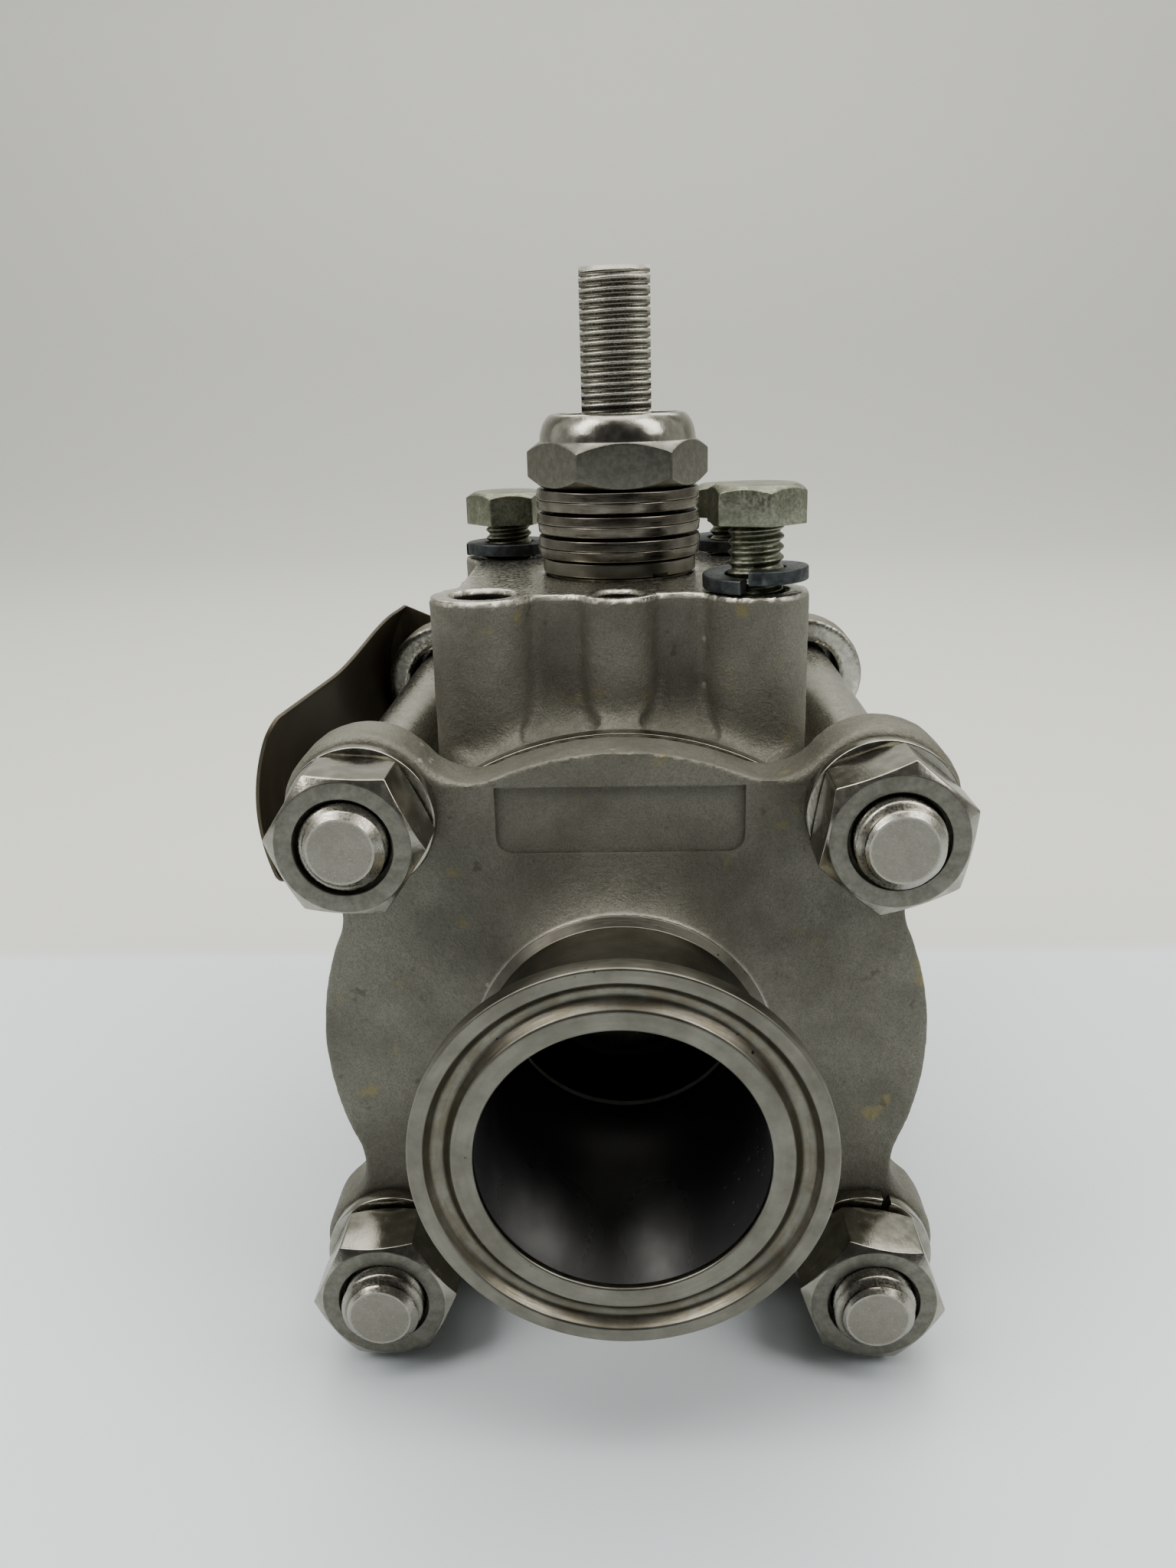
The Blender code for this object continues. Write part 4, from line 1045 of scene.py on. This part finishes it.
def tie_bolt(corner, axis, material):
    """Threaded at the front, with its hexagon head behind the rear flange."""
    node = "tie_bolt_" + corner
    low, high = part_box(node)
    thread_from = 28 * MM
    overlap, under_head = thread_from + 0.2 * MM, -(high.y - TIE_HEAD_HEIGHT) - 1 * MM
    rod = threaded_rod(node + "_fine", TIE_BOLT_R, TIE_BOLT_MINOR_R, TIE_PITCH, thread_from, -low.y, 4.2 * MM)
    corners = [(0, overlap, 0, 0), (TIE_BOLT_MINOR_R, overlap, 0, 0),
               (TIE_BOLT_R, thread_from - 0.6 * MM, 0.2, 0), (TIE_BOLT_R, under_head, 0, 0),
               (0, under_head, 0, 0)]
    boolean(rod, turned("tie_shank", corners, 96), "UNION")
    head = hexagon("tie_head", TIE_HEAD_AF, 0, TIE_HEAD_HEIGHT, (), HEAD_TURN[corner], (False, True),
                   0.4 * MM)
    head.data.transform(move(0, 0, -high.y) @ spin(180, "X")
                        @ move(0, 0, -TIE_HEAD_HEIGHT))
    boolean(rod, head, "UNION")
    install(rod, "valve_body", material, (node,), axis, 40)


def tie_nut(corner, material):
    x, z = CORNERS[corner]
    node = "tie_nut_" + corner
    low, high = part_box(node)
    height = high.y - low.y
    mouth_r, clear = 6.2 * MM, TIE_BOLT_R + 0.12 * MM
    bore = [(mouth_r, height), (clear, height - 1.3 * MM), (clear, 0.9 * MM), (mouth_r, 0)]
    piece = hexagon(node + "_fine", TIE_NUT_AF, 0, height, bore, NUT_TURN[corner] + 30)
    place = move(x * TIE, high.y, z * TIE) @ TO_FRONT
    install(piece, "valve_body", material, (node,), place)


def tie_lock_washer(corner, material):
    x, z = CORNERS[corner]
    node = "tie_lock_washer_" + corner
    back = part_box(node)[1].y
    piece = split_washer(node + "_fine", TIE_BOLT_R + 0.5 * MM, TIE_WASHER_R, TIE_WASHER_T, 7, 0.18 * MM)
    turn = spin(TIE_SPLIT[corner])
    place = move(x * TIE, back, z * TIE) @ TO_FRONT @ turn
    install(piece, "valve_body", material, (node,), place)


def actuator_fasteners(zinc, dark):
    for place_name, turn in ACTUATOR_TURN.items():
        node = "actuator_bolt_" + place_name
        low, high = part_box(node)
        x, y = math.copysign(BOSS_X, low.x + high.x), math.copysign(BOSS_Y, low.y + high.y)
        seat = high.z - ACT_HEAD_HEIGHT
        length, overlap = seat - low.z, 0.3 * MM
        rod = threaded_rod("actuator_rod", ACT_R, ACT_MINOR_R, ACT_PITCH, -length, overlap, ACT_R, steps=72)
        rod.data.transform(spin(180, "X") @ move(0, 0, length))
        rod.data.transform(move(0, 0, overlap))
        bolt = hexagon(node + "_fine", ACT_HEAD_AF, 0, ACT_HEAD_HEIGHT, (), turn + 30, (False, True),
                       corner=0.6 * MM, face=0.90)
        boolean(bolt, rod, "UNION")
        install(bolt, "valve_body", zinc, (node,), move(x, y, seat), 40)
        actuator_washer(place_name, x, y, dark)


def actuator_washer(place_name, x, y, material):
    """The front one has sprung open: its right end stands clear of the pad."""
    node = "actuator_lock_washer_" + place_name
    loose = place_name == "front_right"
    rise = (-1.2 if loose else -0.35) * MM
    piece = split_washer(node + "_fine", ACT_R + 0.35 * MM, ACT_WASHER_R, ACT_WASHER_T, 9, rise)
    turn = spin(ACTUATOR_SPLIT[place_name])
    lean = Matrix.Rotation(math.radians(2 if loose else 0), 4, Vector((0.2, -1, 0)))
    place = move(x, y, PAD_Z - rise + 0.35 * MM) @ lean @ turn
    install(piece, "valve_body", material, (node,), place)


# ---- side plate -------------------------------------------------------------------
PLATE_T = 0.55 * MM
PLATE_FRONT_Y, PLATE_REAR_Y = -30.0 * MM, 41.8 * MM
PLATE_FRONT_X, PLATE_REAR_X = -47.8 * MM, -41.6 * MM
PLATE_BULGE = (2.7 * MM, 3.8 * MM)
PLATE_LEAN = 1.0 * MM
PLATE_TOP = (43.1 * MM, 46.6 * MM)
PLATE_BOTTOM = (18.6 * MM, 24.0 * MM)


def plate_edge(share, ends):
    rise = min(1.0, max(0.0, (share - 0.36) / 0.52))
    return ends[0] + (ends[1] - ends[0]) * rise * rise * (3 - 2 * rise)


def plate_x(share, rise):
    bow = PLATE_BULGE[0] + (PLATE_BULGE[1] - PLATE_BULGE[0]) * share
    lean = PLATE_LEAN * (1 - rise) * (1 - share)
    straight = PLATE_FRONT_X + (PLATE_REAR_X - PLATE_FRONT_X) * share
    return straight - lean - bow * (1 - (2 * rise - 1) ** 2)


def sheet_shape(name, columns, rows, point_at):
    """A grid of points thickened to the plate's gauge, with rounded edges."""
    verts = [point_at(i / columns, k / rows) for i in range(columns + 1) for k in range(rows + 1)]
    faces = [(i * (rows + 1) + k, (i + 1) * (rows + 1) + k, (i + 1) * (rows + 1) + k + 1,
              i * (rows + 1) + k + 1) for i in range(columns) for k in range(rows)]
    obj = make_piece(name, verts, faces, None, 60)
    solid = obj.modifiers.new("Solidify", "SOLIDIFY")
    solid.thickness = PLATE_T
    solid.offset = 0
    bevel = obj.modifiers.new("Bevel", "BEVEL")
    bevel.width = 0.2 * MM
    bevel.segments = 3
    bevel.limit_method = "ANGLE"
    bevel.angle_limit = math.radians(50)
    bpy.context.view_layer.update()
    apply_modifiers(obj)
    return obj


def side_plate(material):
    length = PLATE_REAR_Y + PLATE_T / 2 - PLATE_FRONT_Y

    def leaf_point(step, rise):
        share = step ** 1.5
        low, high = plate_edge(share, PLATE_BOTTOM), plate_edge(share, PLATE_TOP)
        corner = 3.2 * MM
        near = max(0.0, 1 - share * length / corner)
        inset = corner * (1 - math.sqrt(max(0.0, 1 - near ** 2)))
        z = (low + inset * 0.6) * (1 - rise) + (high - inset) * rise
        return plate_x(share, (z - low) / (high - low)), PLATE_FRONT_Y + share * length, z

    def tab_point(share, rise):
        centre = Vector((-TIE, TIE))
        height = PLATE_BOTTOM[1] + (PLATE_TOP[1] - PLATE_BOTTOM[1]) * rise
        edge = Vector((plate_x(1.0, rise), height))
        angle = math.radians(-90 + 180 * rise)
        tip = centre + 9.5 * MM * Vector((math.cos(angle), math.sin(angle)))
        p = edge.lerp(tip, share)
        return p.x, PLATE_REAR_Y + PLATE_T / 2, p.y

    leaf = sheet_shape("side_plate_fine", 120, 30, leaf_point)
    tab = sheet_shape("side_plate_tab", 16, 24, tab_point)
    boolean(leaf, tab, "UNION")
    hole = turned("side_plate_hole", [(0, 45 * MM, 0, 0), (6.15 * MM, 45 * MM, 0, 0),
                                      (6.15 * MM, 39 * MM, 0, 0), (0, 39 * MM, 0, 0)], 64)
    hole.data.transform(move(-TIE, 0, TIE) @ TO_REAR)
    boolean(leaf, hole)
    install(leaf, "valve_body", material, ("side_plate",), smooth_angle=45)


# ---- set --------------------------------------------------------------------------
def camera():
    yaw, pitch, roll = -0.0417, 0.3139, -0.0258
    forward = Vector((math.sin(yaw) * math.cos(pitch), math.cos(yaw) * math.cos(pitch), -math.sin(pitch)))
    right = Vector((math.cos(yaw), -math.sin(yaw), 0))
    up = right.cross(forward)
    right, up = (math.cos(roll) * right + math.sin(roll) * up, math.cos(roll) * up - math.sin(roll) * right)
    lens = bpy.data.cameras.new("camera")
    lens.sensor_fit = "HORIZONTAL"
    lens.sensor_width = 36
    lens.lens = 37.9
    lens.clip_start = 0.005
    obj = add_object("camera", lens)
    axes = Matrix((right, up, -forward)).transposed()
    obj.matrix_world = move(2.296 * MM, -192.807 * MM, 86.457 * MM) @ axes.to_4x4()
    bpy.context.scene.camera = obj


def area_light(name, where, target, size, power):
    data = bpy.data.lights.new(name, "AREA")
    data.shape = "RECTANGLE"
    data.size, data.size_y = size
    data.energy = power
    data.color = (1.0, 0.985, 0.955)
    obj = add_object(name, data)
    direction = Vector(target) - Vector(where)
    obj.matrix_world = Matrix.Translation(where) @ direction.to_track_quat("-Z", "Y").to_matrix().to_4x4()


def world_light():
    """A room that is dim before the valve and brighter behind it."""
    world = bpy.data.worlds.new("room")
    world.use_nodes = True
    bpy.context.scene.world = world
    room = Nodes(world.node_tree)
    outward = room.node("TexCoord").outputs["Generated"]
    strength = room.span(room.split(outward)[1], -1.0, 0.5, 0.08, 0.66)
    background = room.nodes["Background"]
    room.put((1.0, 0.995, 0.965), background.inputs["Color"])
    room.put(strength, background.inputs["Strength"])


def backdrop_mesh():
    """A floor that bends up into a wall behind the valve."""
    reach, bend_from, bend = 3.0, 0.8, 0.7
    line = [(-reach, 0.0), (bend_from, 0.0)]
    for k in range(1, 25):
        angle = math.radians(90 * k / 24)
        line.append((bend_from + bend * math.sin(angle), bend * (1 - math.cos(angle))))
    line.append((bend_from + bend, 2.5))
    verts = [(x, y, z) for y, z in line for x in (-reach, reach)]
    faces = [(2 * i, 2 * i + 1, 2 * i + 3, 2 * i + 2) for i in range(len(line) - 1)]
    mesh = bpy.data.meshes.new("floor")
    mesh.from_pydata(verts, [], faces)
    mesh.shade_smooth()
    return mesh


def backdrop_paint():
    """A bluish table as far as the rear flange, then neutral, with painted light making it paler up the wall.
    """
    p = Paint("floor", 0.0)
    place = p.split(p.node("NewGeometry").outputs["Position"])
    away = p.span(place[1], 0.075, 0.082, style="LINEAR")
    # Painted light: the sweep is painted paler towards the top of the wall.
    rise = p.span(place[2], 0.0, 0.50, style="LINEAR")
    color = p.mix(away, (0.78, 0.83, 0.865), (0.72, 0.73, 0.69))
    return p.finish(p.mix(rise, color, (0.97, 0.975, 0.935)), 0.45)


def studio():
    """Soft light from both sides, above and behind, over a pale sweep."""
    world_light()
    target = (0, 0, 0.02)
    area_light("ceiling_left", (-0.50, -0.30, 0.65), target, (0.30, 0.6), 2.9)
    area_light("ceiling_right", (0.52, -0.28, 0.60), target, (0.30, 0.6), 2.5)
    area_light("ceiling_back", (0.05, 0.55, 0.70), target, (0.9, 0.35), 2.4)
    area_light("room", (0, 0.2, 2.4), (0, 0.9, 0), (2.4, 1.6), 24.0)
    floor = add_object("floor", backdrop_mesh())
    floor.location.z = FLOOR_Z - 0.1 * MM
    floor.data.materials.append(backdrop_paint())


def main():
    bpy.context.scene.view_settings.look = "AgX - Medium High Contrast"
    camera()
    studio()
    cast = cast_stainless()
    lathe_finish = turned_stainless()
    bright = polished_stainless()
    thread = thread_stainless()
    flange("end_flange_front", -1, cast, ("end_fitting_front",))
    flange("end_flange_rear", 1, cast, ("end_fitting_rear",))
    casting(cast)
    body_rims(bright)
    ferrule("ferrule_front", -1, lathe_finish, ("end_fitting_front",))
    ferrule("ferrule_rear", 1, lathe_finish, ("end_fitting_rear",))
    inner_rings(plastic("ptfe", (0.72, 0.72, 0.69), (0.84, 0.84, 0.81), 0.40),
                plastic("nylon", (0.045, 0.030, 0.13), (0.085, 0.060, 0.21), 0.30))
    seats(plastic("filled_ptfe", (0.030, 0.022, 0.016), (0.060, 0.045, 0.033), 0.35))
    ball(bright)
    stem(thread)
    gland(lathe_finish)
    spring_washers(spring_steel())
    stem_nut(bright)
    tie_fasteners(thread, bright)
    actuator_fasteners(zinc_plated(), dark_steel())
    side_plate(plate_steel())


main()
